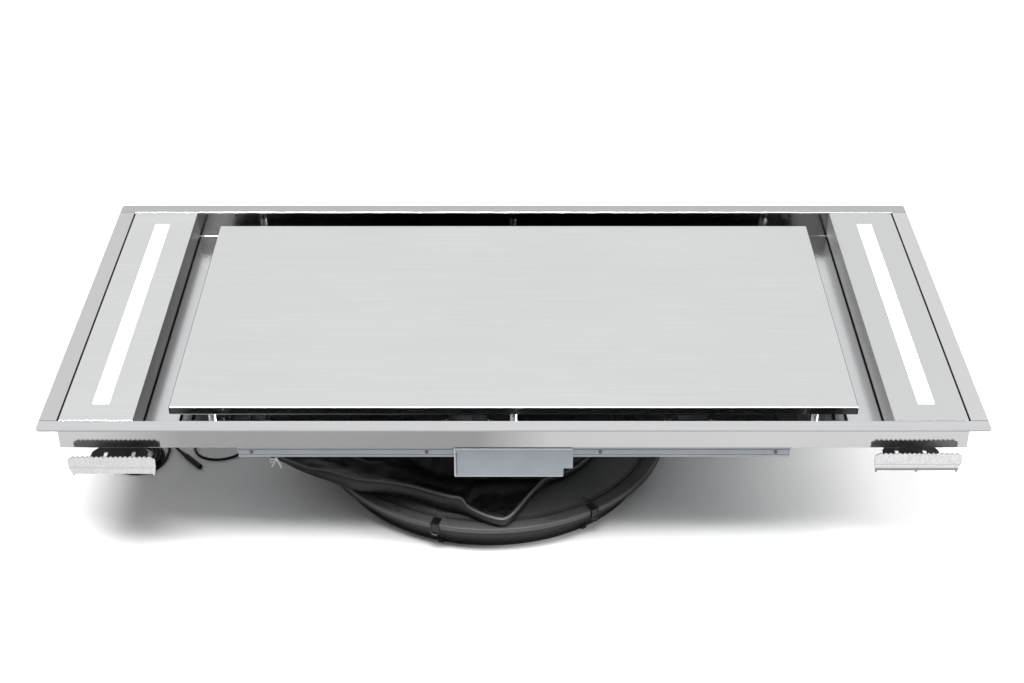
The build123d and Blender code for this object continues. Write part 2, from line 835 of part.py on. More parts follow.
with BuildPart() as control_board:
    board_z = box_z + box_sheet + pillar_height
    board_top = board_z + board_thickness
    with BuildSketch(Plane.XY.offset(box_z + box_sheet)):
        with Locations((box_x, box_y)):
            with GridLocations(box_length - 2 * pillar_inset_x, box_depth - 2 * pillar_inset_y, 2, 2):
                Circle(pillar_radius)
    extrude(amount=pillar_height)
    with BuildSketch(Plane.XY.offset(board_z)):
        with Locations((box_x, box_y)):
            Rectangle(box_length - 2 * board_inset_x, box_depth - 2 * board_inset_y)
    extrude(amount=board_thickness)
    for block_x, block_y, block_length, block_width, block_height in board_blocks:
        with BuildSketch(Plane.XY.offset(board_top)):
            with Locations((box_x + block_x, box_y + block_y)):
                Rectangle(block_length, block_width)
        extrude(amount=block_height)
    with BuildSketch(Plane.XY.offset(board_top)):
        with Locations((box_x + capacitor_place[0], box_y + capacitor_place[1])):
            Circle(capacitor_radius)
    extrude(amount=capacitor_height)
write_piece(control_board, "control_board")

plate_front = rail_face + cover_plate_gap
plate_top = tray_z - seat_gap
plate_left = box_x - cover_plate_length / 2
with BuildPart() as control_cover:
    with BuildSketch(Plane.XZ.offset(plate_front)):
        with Locations((box_x, plate_top - cover_plate_drop / 2)):
            RectangleRounded(cover_plate_length, cover_plate_drop, cover_plate_corner)
        tab_length = cover_plate_tab + 2 * cover_plate_corner
        tab_x = plate_left + cover_plate_length + cover_plate_tab - tab_length / 2
        with Locations((tab_x, plate_top - cover_plate_tab_drop / 2)):
            RectangleRounded(tab_length, cover_plate_tab_drop, cover_plate_corner)
        with Locations((box_x, plate_top - cover_plate_corner)):
            Rectangle(cover_plate_length, 2 * cover_plate_corner)
    extrude(amount=cover_plate_wall)
    with BuildSketch(Plane.XY.offset(plate_top - cover_plate_drop)):
        with Locations((box_x, -plate_front + cover_plate_lip / 2 - cover_plate_wall / 2)):
            Rectangle(cover_plate_length - 4 * cover_plate_corner, cover_plate_lip)
    extrude(amount=cover_plate_wall)
    # the left edge is folded back on itself
    with BuildSketch(Plane.XZ.offset(plate_front + cover_plate_wall)):
        with Locations((plate_left + plate_fold_inset + plate_fold / 2, plate_top - cover_plate_drop / 2)):
            Rectangle(plate_fold, cover_plate_drop - 2 * plate_fold_margin)
    extrude(amount=plate_fold_height)
write_piece(control_cover, "control_cover")

# Light driver under the tray with the gland of its lead
driver_x = driver_inset - flange_length / 2
with BuildPart() as light_driver:
    with BuildSketch(Plane.XY.offset(tray_z - driver_height)):
        with Locations((driver_x, driver_y)):
            RectangleRounded(driver_width, driver_length, driver_corner)
    extrude(amount=driver_height)
    chamfer(light_driver.edges().group_by(Axis.Z)[0], driver_chamfer)
write_piece(light_driver, "light_driver")

gland_y = driver_y + driver_length / 5
gland_z = tray_z - driver_height - gland_length
with BuildPart() as lead_gland:
    with BuildSketch(Plane.XY.offset(tray_z - driver_height)):
        with Locations((driver_x, gland_y)):
            RegularPolygon(gland_nut, 6)
    extrude(amount=-gland_length / 3)
    with BuildSketch(Plane.XY.offset(gland_z)):
        with Locations((driver_x, gland_y)):
            Circle(gland_radius)
    extrude(amount=gland_length)
    chamfer(lead_gland.edges().group_by(Axis.Z)[0], gland_chamfer)
write_piece(lead_gland, "lead_gland")

# Ceiling clamps: a toothed strip with a bevelled skirt on a web that runs under
# the tray to a threaded collar, and the flanged screw that draws it up
for name, (side_x, side_y, inset, drop, reach) in clamp_settings.items():
    teeth_z = flange_z - drop
    crease_z = teeth_z - clamp_strip
    web_z = crease_z - clamp_skirt
    face_y = side_y * (tray_width / 2 + reach)
    middle_x = clamp_middle_x(side_x, inset)
    screw_y = clamp_screw_y(side_y, reach)
    with BuildPart() as clamp:
        with BuildSketch(Plane.YZ.offset(middle_x - clamp_length / 2)):
            with BuildLine():
                Polyline(
                    (face_y, teeth_z),
                    (face_y, crease_z),
                    (face_y - side_y * clamp_skirt_set, web_z - clamp_nub),
                    (face_y - side_y * (clamp_skirt_set + clamp_sheet), web_z - clamp_nub),
                    (face_y - side_y * clamp_sheet, crease_z + crease_rise),
                    (face_y - side_y * clamp_sheet, teeth_z),
                    close=True,
                )
            make_face()
        extrude(amount=clamp_length)
        # front outline with the saw teeth, the chamfered ends and three nubs
        tooth_row = tooth_count * tooth_pitch
        half = clamp_length / 2
        outline = [(-half, teeth_z - clamp_chamfer)]
        for k in range(tooth_count):
            left = -tooth_row / 2 + k * tooth_pitch
            outline.append((left, teeth_z - tooth_height))
            outline.append((left + tooth_pitch / 2, teeth_z))
        outline.append((tooth_row / 2, teeth_z - tooth_height))
        outline.append((half, teeth_z - clamp_chamfer))
        outline.append((half, crease_z))
        outline.append((half - clamp_taper, web_z))
        outline.append((clamp_taper - half, web_z))
        outline.append((-half, crease_z))
        with BuildSketch(Plane.XZ.offset(-face_y)) as face_outline:
            with Locations((middle_x, 0)):
                Polygon(*outline, align=None)
                with Locations((0, web_z - clamp_nub / 2)):
                    with GridLocations(half - clamp_taper - clamp_nub_width / 2, 0, 3, 1):
                        Rectangle(clamp_nub_width, clamp_nub + screw_clearance)
        extrude(amount=2 * clamp_sheet + 2 * clamp_skirt_set, both=True, mode=Mode.INTERSECT)
        # web in plan, narrowing from the strip to the screw
        with BuildSketch(Plane.XY.offset(web_z)):
            front_y = face_y - side_y * (clamp_skirt_set + clamp_sheet / 2)
            wall_y = side_y * tray_width / 2
            tail_y = screw_y - side_y * web_tail
            with BuildLine():
                Polyline(
                    (middle_x - web_front / 2, front_y),
                    (middle_x - web_wall / 2, wall_y - side_y * web_shoulder),
                    (middle_x - web_end / 2, tail_y),
                    (middle_x + web_end / 2, tail_y),
                    (middle_x + web_wall / 2, wall_y - side_y * web_shoulder),
                    (middle_x + web_front / 2, front_y),
                    close=True,
                )
            make_face()
            slot_y = wall_y - side_y * web_slot_set
            with Locations((middle_x - web_slot_offset, slot_y), (middle_x + web_slot_offset, slot_y)):
                Rectangle(web_slot_width, web_slot_length, mode=Mode.SUBTRACT)
        extrude(amount=clamp_sheet)
        with BuildSketch(Plane.XY.offset(web_z - collar_height)):
            with Locations((middle_x, screw_y)):
                Circle(collar_radius)
        extrude(amount=collar_height)
        with BuildSketch(Plane.XY.offset(web_z - collar_height)):
            with Locations((middle_x, screw_y)):
                Circle(screw_radius + screw_clearance)
        extrude(amount=collar_height + clamp_sheet, mode=Mode.SUBTRACT)
    write_piece(clamp, f"clamp_{name}")

    with BuildPart() as clamp_screw:
        with BuildSketch(Plane.XY.offset(floor_z)):
            with Locations((middle_x, screw_y)):
                Circle(screw_flange)
        extrude(amount=sheet)
        with BuildSketch(Plane.XY.offset(floor_z + sheet)):
            with Locations((middle_x, screw_y)):
                RegularPolygon(screw_head, 6)
        extrude(amount=screw_head_height)
        with BuildSketch(Plane.XY.offset(floor_z)):
            with Locations((middle_x, screw_y)):
                Circle(screw_radius)
        extrude(amount=-screw_length)
    write_piece(clamp_screw, f"clamp_screw_{name}")

# Blower housing: conical base with its volute, ring-edged lid with the inlet
housing_axis = Axis((drum_x, drum_y, 0), (0, 0, 1))
housing_plane = Plane(origin=(drum_x, drum_y, 0), x_dir=(1, 0, 0), z_dir=(0, -1, 0))
lid_underside = housing_height - lid_wall
rim_z = housing_height - rim_drop
rim_top = housing_height + rim_rise
clip_angles = [clip_angle + k * 360 / clip_count for k in range(clip_count)]
with BuildPart() as housing_base:
    with BuildSketch(housing_plane):
        with BuildLine():
            Polyline(
                (0, 0),
                (base_radius, 0),
                (base_radius + skirt_draft, skirt_height),
                (base_radius + skirt_step, skirt_height),
                (shoulder_radius, rim_z - rim_thickness),
                (rim_radius, rim_z - rim_thickness),
                (rim_radius, rim_z),
                (shoulder_radius - housing_wall, rim_z),
                (shoulder_radius - housing_wall, rim_z - rim_thickness),
                (base_radius - housing_wall, housing_wall),
                (0, housing_wall),
                close=True,
            )
        make_face()
    revolve(axis=housing_axis)
    # feet under the clips
    for angle in clip_angles:
        reach = base_radius + skirt_step / 2
        with BuildSketch(Plane.XY):
            with Locations((drum_x, drum_y)):
                with Locations((reach * math.cos(math.radians(angle)), reach * math.sin(math.radians(angle)))):
                    Rectangle(nub_depth, nub_width, rotation=angle)
        extrude(amount=skirt_height - nub_drop)
    # volute of three quarter arcs and a straight side, open towards the outlet
    with BuildSketch(Plane.XY.offset(housing_wall)):
        half_step = volute_step / 2
        first = (drum_x - half_step, drum_y - half_step)
        second = (drum_x + half_step, drum_y - half_step)
        third = (drum_x + half_step, drum_y + half_step)
        with BuildLine() as volute:
            CenterArc(first, volute_radius, tongue_angle, 180 - tongue_angle)
            CenterArc(second, volute_radius + volute_step, 180, 90)
            CenterArc(third, volute_radius + 2 * volute_step, 270, 90)
            side_x = third[0] + volute_radius + 2 * volute_step
            Line((side_x, third[1]), (side_x, drum_y + volute_run))
        trace(line_width=volute_wall)
    extrude(amount=lid_underside - seat_gap - housing_wall)
    # window for the outlet, below the rim
    with BuildSketch(Plane.XY.offset(housing_wall + seat_gap - outlet_gap)):
        with Locations((drum_x + outlet_x, drum_y + (outlet_start + outlet_end) / 2)):
            Rectangle(outlet_width + 2 * outlet_gap, outlet_end - outlet_start + 2 * outlet_gap)
    extrude(amount=outlet_height + 2 * outlet_gap, mode=Mode.SUBTRACT)
write_piece(housing_base, "housing_base")

with BuildPart() as housing_lid:
    groove_outer = lid_radius + groove_width
    groove_floor = rim_top - groove_depth
    with BuildSketch(housing_plane):
        with BuildLine():
            Polyline(
                (inlet_radius, housing_height),
                (lid_radius, housing_height),
                (lid_radius, groove_floor),
                (groove_outer, groove_floor),
                (groove_outer, rim_top),
                (rim_radius - rim_bevel, rim_top),
                (rim_radius, rim_top - rim_bevel),
                (rim_radius, rim_z),
                (lid_radius - lid_wall, rim_z),
                (lid_radius - lid_wall, lid_underside),
                (inlet_radius, lid_underside),
                (inlet_radius, housing_height - inlet_lip),
                (inlet_radius - inlet_wall, housing_height - inlet_lip),
                (inlet_radius - inlet_wall, housing_height - inlet_wall),
                close=True,
            )
        make_face()
    revolve(axis=housing_axis)
    for angle in clip_angles:
        with BuildSketch(Plane.XY.offset(housing_height - clip_notch_depth)):
            with Locations((drum_x, drum_y)):
                with PolarLocations(lid_radius - clip_notch / 2, 1, start_angle=angle):
                    Rectangle(clip_notch, clip_width + 2 * clip_notch_gap)
        extrude(amount=lid_wall + rim_rise, mode=Mode.SUBTRACT)
        with BuildSketch(Plane.XY.offset(rim_top - rim_slot_depth)):
            with Locations((drum_x, drum_y)):
                with PolarLocations(groove_outer + rim_slot_set, 1, start_angle=angle + rim_slot_turn):
                    Rectangle(rim_slot_width, rim_slot_length)
        extrude(amount=rim_slot_depth, mode=Mode.SUBTRACT)
    with BuildSketch(Plane.XY.offset(lid_underside)):
        with Locations((drum_x, drum_y)):
            with PolarLocations(neck_radius + neck_flange / 2, neck_screw_count):
                Circle(neck_screw_radius + stud_clearance)
    extrude(amount=lid_wall, mode=Mode.SUBTRACT)
write_piece(housing_lid, "housing_lid")

# Spring clips round the rim hold lid and base together
with BuildPart() as housing_clips:
    for angle in clip_angles:
        cosine = math.cos(math.radians(angle))
        sine = math.sin(math.radians(angle))
        clip_plane = Plane(origin=(drum_x, drum_y, 0), x_dir=(cosine, sine, 0), z_dir=(sine, -cosine, 0))
        outside = rim_radius + seat_gap
        with BuildSketch(clip_plane):
            with BuildLine():
                Polyline(
                    (outside - clip_hook, rim_top),
                    (outside, rim_top),
                    (outside, rim_z - rim_thickness),
                    (outside - clip_toe, rim_z - rim_thickness),
                    (outside - clip_toe, rim_z - rim_thickness - clip_wall),
                    (outside + clip_wall, rim_z - rim_thickness - clip_wall),
                    (outside + clip_wall, rim_top + clip_wall),
                    (outside - clip_hook, rim_top + clip_wall),
                    close=True,
                )
            make_face()
        extrude(amount=clip_width / 2, both=True)
write_piece(housing_clips, "housing_clips")

# External rotor motor: fixed core on a foot, cup with its shaft
with BuildPart() as motor_stator:
    with BuildSketch(Plane.XY.offset(housing_wall)):
        with Locations((drum_x, drum_y)):
            Circle(stator_foot)
    extrude(amount=stator_foot_height)
    with BuildSketch(Plane.XY.offset(housing_wall)):
        with Locations((drum_x, drum_y)):
            Circle(stator_radius)
    extrude(amount=wheel_z + rotor_height - rotor_wall - stator_gap - housing_wall)
    with BuildSketch(Plane.XY.offset(housing_wall + stator_base)):
        with Locations((drum_x, drum_y)):
            Circle(shaft_radius + shaft_clearance)
    extrude(amount=rotor_height + wheel_z, mode=Mode.SUBTRACT)
write_piece(motor_stator, "motor_stator")

with BuildPart() as motor_rotor:
    with BuildSketch(Plane.XY.offset(wheel_z)):
        with Locations((drum_x, drum_y)):
            Circle(rotor_radius)
            Circle(rotor_radius - rotor_wall, mode=Mode.SUBTRACT)
    extrude(amount=rotor_height)
    with BuildSketch(Plane.XY.offset(wheel_z + rotor_height - rotor_wall)):
        with Locations((drum_x, drum_y)):
            Circle(rotor_radius)
    extrude(amount=rotor_wall)
    chamfer(motor_rotor.edges().group_by(Axis.Z)[-1], rotor_chamfer)
    with BuildSketch(Plane.XY.offset(wheel_z + wheel_plate)):
        with Locations((drum_x, drum_y)):
            Circle(rotor_radius + rotor_flange)
            Circle(rotor_radius - rotor_wall, mode=Mode.SUBTRACT)
    extrude(amount=rotor_flange_thickness)
    shaft_z = housing_wall + stator_base + shaft_gap
    with BuildSketch(Plane.XY.offset(shaft_z)):
        with Locations((drum_x, drum_y)):
            Circle(shaft_radius)
    extrude(amount=wheel_z + rotor_height - rotor_wall - shaft_z)
write_piece(motor_rotor, "motor_rotor")

# Wheel with backward-curved blades between a back plate and a shroud ring
with BuildPart() as blower_wheel:
    with BuildSketch(Plane.XY.offset(wheel_z)):
        with Locations((drum_x, drum_y)):
            Circle(wheel_radius)
            Circle(rotor_radius + seat_gap, mode=Mode.SUBTRACT)
    extrude(amount=wheel_plate)
    shroud_z = wheel_z + wheel_plate + blade_height
    with BuildSketch(Plane.XY.offset(shroud_z)):
        with Locations((drum_x, drum_y)):
            Circle(wheel_radius)
            Circle(wheel_eye, mode=Mode.SUBTRACT)
    extrude(amount=wheel_plate)
    with BuildSketch(Plane.XY.offset(wheel_z + wheel_plate)):
        inner = wheel_eye + blade_inset
        outer = wheel_radius - blade_end
        for k in range(blade_count):
            turn = 2 * math.pi * k / blade_count
            start = (drum_x + inner * math.cos(turn), drum_y + inner * math.sin(turn))
            end_turn = turn - math.radians(blade_sweep)
            end = (drum_x + outer * math.cos(end_turn), drum_y + outer * math.sin(end_turn))
            lead_in = turn - math.radians(blade_angle)
            with BuildLine() as blade:
                TangentArc(start, end, tangent=(math.cos(lead_in), math.sin(lead_in)))
            trace(line_width=blade_thickness)
    extrude(amount=blade_height)
write_piece(blower_wheel, "blower_wheel")

# Flat outlet with its non-return flap
outlet_low = housing_wall + seat_gap
outlet_high = outlet_low + outlet_height
pivot_level = outlet_high - outlet_wall - flap_pin - flap_rise
with BuildPart() as outlet_spigot:
    with BuildSketch(Plane.XZ.offset(-drum_y - outlet_end)):
        with Locations((drum_x + outlet_x, (outlet_low + outlet_high) / 2)):
            Rectangle(outlet_width, outlet_height)
            Rectangle(outlet_width - 2 * outlet_wall, outlet_height - 2 * outlet_wall, mode=Mode.SUBTRACT)
    extrude(amount=outlet_end - outlet_start)
    # the inner end stays clear of the blower wheel
    with BuildSketch(Plane.XY.offset(housing_wall)):
        with Locations((drum_x, drum_y)):
            Circle(wheel_radius + outlet_cut)
    extrude(amount=housing_height, mode=Mode.SUBTRACT)
    with BuildSketch(Plane.YZ.offset(drum_x + outlet_x)):
        with Locations((drum_y + flap_y, pivot_level)):
            Circle(flap_pin + flap_clearance)
    extrude(amount=outlet_width, both=True, mode=Mode.SUBTRACT)
write_piece(outlet_spigot, "outlet_spigot")

with BuildPart() as outlet_flap:
    flap_width = outlet_width - 2 * (outlet_wall + flap_side_gap)
    with BuildSketch(Plane.YZ.offset(drum_x + outlet_x)):
        with Locations((drum_y + flap_y, pivot_level)):
            Circle(flap_pin)
    extrude(amount=outlet_width / 2, both=True)
    with BuildSketch(Plane.YZ.offset(drum_x + outlet_x)):
        with Locations((drum_y + flap_y, pivot_level - flap_height / 2 + flap_pin)):
            Rectangle(flap_thickness, flap_height - 2 * flap_pin)
    extrude(amount=flap_width / 2, both=True)
write_piece(outlet_flap, "outlet_flap")

# Neck between plenum and housing, its screws, and the finger guard over it
with BuildPart() as inlet_neck:
    with BuildSketch(Plane.XY.offset(housing_height)):
        with Locations((drum_x, drum_y)):
            Circle(neck_radius)
            Circle(neck_radius - neck_wall, mode=Mode.SUBTRACT)
    extrude(amount=neck_length)
    for level in (housing_height, plenum_z - neck_wall):
        with BuildSketch(Plane.XY.offset(level)):
            with Locations((drum_x, drum_y)):
                Circle(neck_radius + neck_flange)
                Circle(neck_radius - neck_wall, mode=Mode.SUBTRACT)
                with PolarLocations(neck_radius + neck_flange / 2, neck_screw_count):
                    Circle(neck_screw_radius + stud_clearance, mode=Mode.SUBTRACT)
        extrude(amount=neck_wall)
write_piece(inlet_neck, "inlet_neck")

with BuildPart() as neck_screws:
    joints = [
        (housing_height + neck_wall, 1, neck_wall + lid_wall),
        (plenum_z - neck_wall, -1, neck_wall + sheet),
    ]
    for level, way, grip in joints:
        with BuildSketch(Plane.XY.offset(level)):
            with Locations((drum_x, drum_y)):
                with PolarLocations(neck_radius + neck_flange / 2, neck_screw_count):
                    Circle(neck_screw_head)
        extrude(amount=way * neck_screw_cap)
        with BuildSketch(Plane.XY.offset(level)):
            with Locations((drum_x, drum_y)):
                with PolarLocations(neck_radius + neck_flange / 2, neck_screw_count):
                    Circle(neck_screw_radius)
        extrude(amount=-way * grip)
write_piece(neck_screws, "neck_screws")

with BuildPart() as inlet_guard:
    guard_z = plenum_z + sheet + guard_wire + guard_gap
    guard_radius = neck_radius + guard_margin
    for k in range(guard_rings):
        ring_radius = guard_radius * (k + 1) / guard_rings
        with BuildSketch(housing_plane):
            with Locations((ring_radius, guard_z)):
                Circle(guard_wire)
        revolve(axis=housing_axis)
    for k in range(guard_spokes):
        turn = math.pi * k / guard_spokes
        spoke = (math.cos(turn), math.sin(turn), 0)
        start = (drum_x - guard_radius * spoke[0], drum_y - guard_radius * spoke[1], guard_z)
        with BuildSketch(Plane(origin=start, z_dir=spoke)):
            Circle(guard_wire)
        extrude(amount=2 * guard_radius)
write_piece(inlet_guard, "inlet_guard")

# Cloth sleeve: a gathered mound round the neck and an apron of folds in front
lid_top = housing_height + cloth_gap
apron_foot = rim_top + clip_wall + cloth_gap
sleeve_inner = neck_radius + neck_flange + cloth_gap
mound_outer = sleeve_inner + sleeve_foot


def apron_outline(front, back, height):
    """Closed outline of one section: a flat foot and three fold crests."""
    width = back - front
    low = apron_foot + sleeve_hem * height / apron_sections[0][3] / 4
    first = (front + 0.36 * width, apron_foot + 0.62 * height)
    second = (front + 0.70 * width, apron_foot + 0.80 * height)
    Line((front, apron_foot), (back, apron_foot))
    Line((back, apron_foot), (back, low))
    ThreePointArc((back, low), (front + 0.88 * width, apron_foot + 0.70 * height), second)
    ThreePointArc(second, (front + 0.52 * width, apron_foot + height), first)
    ThreePointArc(first, (front + 0.16 * width, apron_foot + 0.56 * height), (front, low))
    Line((front, low), (front, apron_foot))


with BuildPart() as canvas_sleeve:
    for section_x, front, back, height in apron_sections:
        with BuildSketch(Plane.YZ.offset(section_x)):
            with BuildLine():
                apron_outline(front, back, height)
            make_face()
    loft()
    tip_x, tip_front, tip_back, tip_height = apron_sections[0]
    with BuildSketch(Plane.YZ.offset(tip_x)):
        with BuildLine():
            apron_outline(tip_front, tip_back, tip_height)
        make_face()
    extrude(amount=-sleeve_tip)
    # gathered mound round the neck, drawn in under its top
    with BuildSketch(housing_plane):
        with BuildLine():
            top = lid_top + sleeve_height
            waist = (sleeve_inner + sleeve_waist, lid_top + 0.62 * sleeve_height)
            belly = (mound_outer, lid_top + sleeve_hem)
            Polyline((sleeve_inner, top), (sleeve_inner, lid_top), (mound_outer, lid_top), belly)
            ThreePointArc(belly, (sleeve_inner + sleeve_belly, lid_top + 0.38 * sleeve_height), waist)
            rim = (sleeve_inner + sleeve_edge, top)
            ThreePointArc(waist, (sleeve_inner + sleeve_waist, top - sleeve_roll), rim)
            Line(rim, (sleeve_inner, top))
        make_face()
    revolve(axis=housing_axis)
    with BuildSketch(Plane.XY.offset(lid_top)):
        with Locations((drum_x, drum_y)):
            Circle(sleeve_inner)
    extrude(amount=sleeve_height, mode=Mode.SUBTRACT)
    # open mouth of the sleeve
    with BuildSketch(Plane.XY.offset(apron_foot + mouth_floor)):
        with Locations((drum_x, drum_y)):
            Polygon(*mouth_corners, align=None)
    extrude(amount=sleeve_height, mode=Mode.SUBTRACT)
write_piece(canvas_sleeve, "canvas_sleeve")

# Tape that ties up the end of the sleeve, with its knot and two tails
tie_x = tip_x - sleeve_tip / 2
with BuildPart() as sleeve_tie:
    tie_rings = [
        (cloth_gap + tie_thickness, Mode.ADD),
        (cloth_gap, Mode.SUBTRACT),
    ]
    for ring_offset, mode in tie_rings:
        with BuildSketch(Plane.YZ.offset(tie_x - tie_width / 2)):
            with BuildLine():
                apron_outline(tip_front, tip_back, tip_height)
            make_face()
            offset(amount=ring_offset)
        extrude(amount=tie_width, mode=mode)
    knot_y = tip_front - cloth_gap - tie_thickness
    knot_z = apron_foot + tip_height / 3
    for side in (-1, 1):
        with BuildSketch(Plane.YZ.offset(tie_x + side * tie_width / 2 - tie_tail / 2)):
            with BuildLine():
                Polyline(
                    (knot_y + tie_thickness / 2, knot_z + tail_rise),
                    (knot_y - tail_bend + side, knot_z + tail_rise),
                    (knot_y - tail_length + side, knot_z + tail_rise - tail_drop),
                    (knot_y - tail_length + side, knot_z + tail_rise - tail_drop - tail_sheet),
                    (knot_y - tail_bend + side, knot_z - tail_rise),
                    (knot_y + tie_thickness / 2, knot_z - tail_rise),
                    close=True,
                )
            make_face()
        extrude(amount=tie_tail)
    with BuildSketch(Plane.XZ.offset(-knot_y - tie_thickness / 2)):
        with Locations((tie_x, knot_z)):
            RectangleRounded(knot_length, knot_height, knot_corner)
    extrude(amount=2 * tie_thickness)
write_piece(sleeve_tie, "sleeve_tie")


def route_radii(points):
    """Radii that fill 0.45 of the shorter run beside each corner of a route."""
    corners = [Vector(*point) for point in points]
    radii = []
    for before, here, after in zip(corners, corners[1:], corners[2:]):
        turn = (here - before).get_angle(after - here)
        shorter = min((here - before).length, (after - here).length)
        radii.append(0.45 * shorter / math.tan(math.radians(turn / 2)))
    return radii


# Lead: from the gland of the light driver down to the floor and into its coil
lead_z = lead_radius + floor_gap
coil_top = lead_z + coil_layer
coil_x = driver_x + coil_shift_x
coil_y = gland_y + coil_shift_y
lead_route = [(driver_x, gland_y, gland_z), (driver_x, gland_y, lead_fall_height)]
lead_route += [(driver_x + x, gland_y + y, z) for x, y, z in lead_bends_above]
lead_route += [(driver_x + x, gland_y + y, lead_z) for x, y in lead_bends]
lead_route += [
    (coil_x + coil_radius, coil_y + lead_last_run, lead_z),
    (coil_x + coil_radius, coil_y + 2 * lead_radius, lead_z),
]
lead_radii = route_radii(lead_route)
with BuildPart() as lead:
    with BuildLine() as lead_path:
        FilletPolyline(*lead_route, radius=lead_radii)
    with BuildSketch(lead_path.line ^ 0):
        Circle(lead_radius)
    sweep(path=lead_path.line)
write_piece(lead, "lead")

# Coil: half turns that spiral in on the floor, climb, and spiral out on top
with BuildPart() as lead_coil:
    with BuildLine() as coil_path:
        x = coil_x + coil_radius
        Line((x, coil_y + 2 * lead_radius, lead_z), (x, coil_y, lead_z))
        turns_in = [coil_radius - k * coil_pitch / 2 for k in range(2 * coil_turns - 1)]
        climb_radius = turns_in[-1] - coil_pitch / 2
        turns_out = [climb_radius + k * coil_pitch / 2 for k in range(1, 2 * coil_turns - 2)]
        side = -1
        for radius in turns_in:
            middle = x + side * radius
            ThreePointArc(
                (x, coil_y, lead_z),
                (middle, coil_y + side * radius, lead_z),
                (x + 2 * side * radius, coil_y, lead_z),
            )
            x += 2 * side * radius
            side = -side
        crest = (x + climb_radius, coil_y + climb_radius, lead_z + coil_layer / 2)
        TangentArc((x, coil_y, lead_z), crest, tangent=(0, 1, 0))
        TangentArc((x + 2 * climb_radius, coil_y, coil_top), crest, tangent=(0, 1, 0))
        x += 2 * climb_radius
        side = -side
        for radius in turns_out:
            middle = x + side * radius
            ThreePointArc(
                (x, coil_y, coil_top),
                (middle, coil_y + side * radius, coil_top),
                (x + 2 * side * radius, coil_y, coil_top),
            )
            x += 2 * side * radius
            side = -side
        # the last turn opens out and runs down to the connector
        exit_x = x + coil_exit_radius
        turn = math.radians(90 - coil_exit_turn)
        exit_end = (exit_x + coil_exit_radius * math.cos(turn), coil_y + coil_exit_radius * math.sin(turn), coil_top)
        quarter = (exit_x, coil_y + coil_exit_radius, coil_top)
        TangentArc((x, coil_y, coil_top), quarter, tangent=(0, 1, 0))
        TangentArc(quarter, exit_end, tangent=(1, 0, 0))
        exit_way = Vector(math.sin(turn), -math.cos(turn), 0)
        fall = Vector(0, 0, plug_radius + 2 * floor_gap - coil_top)
        straight, slope, level = exit_runs
        exit_route = [Vector(*exit_end)]
        exit_route.append(exit_route[-1] + exit_way * straight)
        exit_route.append(exit_route[-1] + exit_way * slope + fall)
        exit_route.append(exit_route[-1] + exit_way * level)
        exit_radii = route_radii(exit_route)
        FilletPolyline(*exit_route, radius=exit_radii)
    with BuildSketch(coil_path.line ^ 0):
        Circle(lead_radius)
    sweep(path=coil_path.line)
write_piece(lead_coil, "lead_coil")

# Connector on the end of the lead, lying on the floor
plug_root = exit_route[-1]
plug_side = exit_way.cross(Vector(0, 0, 1))
plug_plane = Plane(origin=plug_root, x_dir=exit_way, z_dir=plug_side)
with BuildPart() as lead_plug:
    with BuildSketch(plug_plane):
        with BuildLine():
            plug_end = plug_neck + plug_length
            Polyline(
                (0, 0),
                (0, lead_radius + plug_collar),
                (plug_neck, plug_radius - plug_step),
                (plug_neck, plug_radius),
                (plug_end - plug_bevel, plug_radius),
                (plug_end, plug_radius - plug_bevel),
                (plug_end, 0),
                close=True,
            )
        make_face()
    revolve(axis=Axis(plug_root, exit_way))
write_piece(lead_plug, "lead_plug")

# What the cords come to
print("lead radii", [round(radius, 1) for radius in lead_radii])
print("lead exit radii", [round(radius, 1) for radius in exit_radii])
coil_wire = coil_path.wire()
lead_section = math.pi * lead_radius**2
for name, solid, wire in (("lead", lead, lead_path.wire()), ("coil", lead_coil, coil_wire)):
    print(name, "length", round(wire.length, 1))
    print(name, "volume over section times length", round(solid.part.volume / lead_section / wire.length, 5))
step = 2.0
samples = [coil_wire @ (k * step / coil_wire.length) for k in range(int(coil_wire.length / step))]
apart = int(6 * lead_radius / step) + 1
least = min(
    (samples[i] - samples[j]).length
    for i in range(len(samples))
    for j in range(i + apart, len(samples))
)
print("coil least gap to itself", round(least - 2 * lead_radius, 2))
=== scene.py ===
"""The looks of the ceiling range hood: its finishes, the canvas sleeve, the lead and the studio."""
import math

import bpy
from mathutils import Matrix, Vector, noise


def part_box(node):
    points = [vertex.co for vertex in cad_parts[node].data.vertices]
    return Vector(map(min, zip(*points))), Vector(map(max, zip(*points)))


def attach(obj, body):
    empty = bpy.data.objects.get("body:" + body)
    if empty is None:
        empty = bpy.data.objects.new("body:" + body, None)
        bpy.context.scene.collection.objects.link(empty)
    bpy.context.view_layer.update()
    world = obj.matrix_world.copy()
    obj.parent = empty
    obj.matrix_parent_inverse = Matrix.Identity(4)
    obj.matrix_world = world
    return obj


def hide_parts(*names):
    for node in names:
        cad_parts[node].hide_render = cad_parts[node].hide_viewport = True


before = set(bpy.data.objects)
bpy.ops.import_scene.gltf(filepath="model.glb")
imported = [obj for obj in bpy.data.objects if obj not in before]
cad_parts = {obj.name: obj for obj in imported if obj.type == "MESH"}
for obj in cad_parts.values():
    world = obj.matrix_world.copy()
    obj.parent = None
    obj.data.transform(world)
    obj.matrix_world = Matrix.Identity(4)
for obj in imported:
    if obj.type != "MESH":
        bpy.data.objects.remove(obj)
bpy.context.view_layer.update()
MM = 0.001

# Levels and edges in metres that the finishes follow
FLANGE_UNDER = 0.2338
FLANGE_Y = 0.3
WALL_X = 0.579
WALL_Y = 0.279
COVER_GAP = (0.4795, 0.4822)
GAP_TOP = 0.2
PANEL_LIP = 0.011
CLAMP_PLATE_Y = 0.2925
SKIRT_HEIGHT = 0.015
GROOVE_RADIUS = 0.2245
THREAD_PITCH = 0.0011

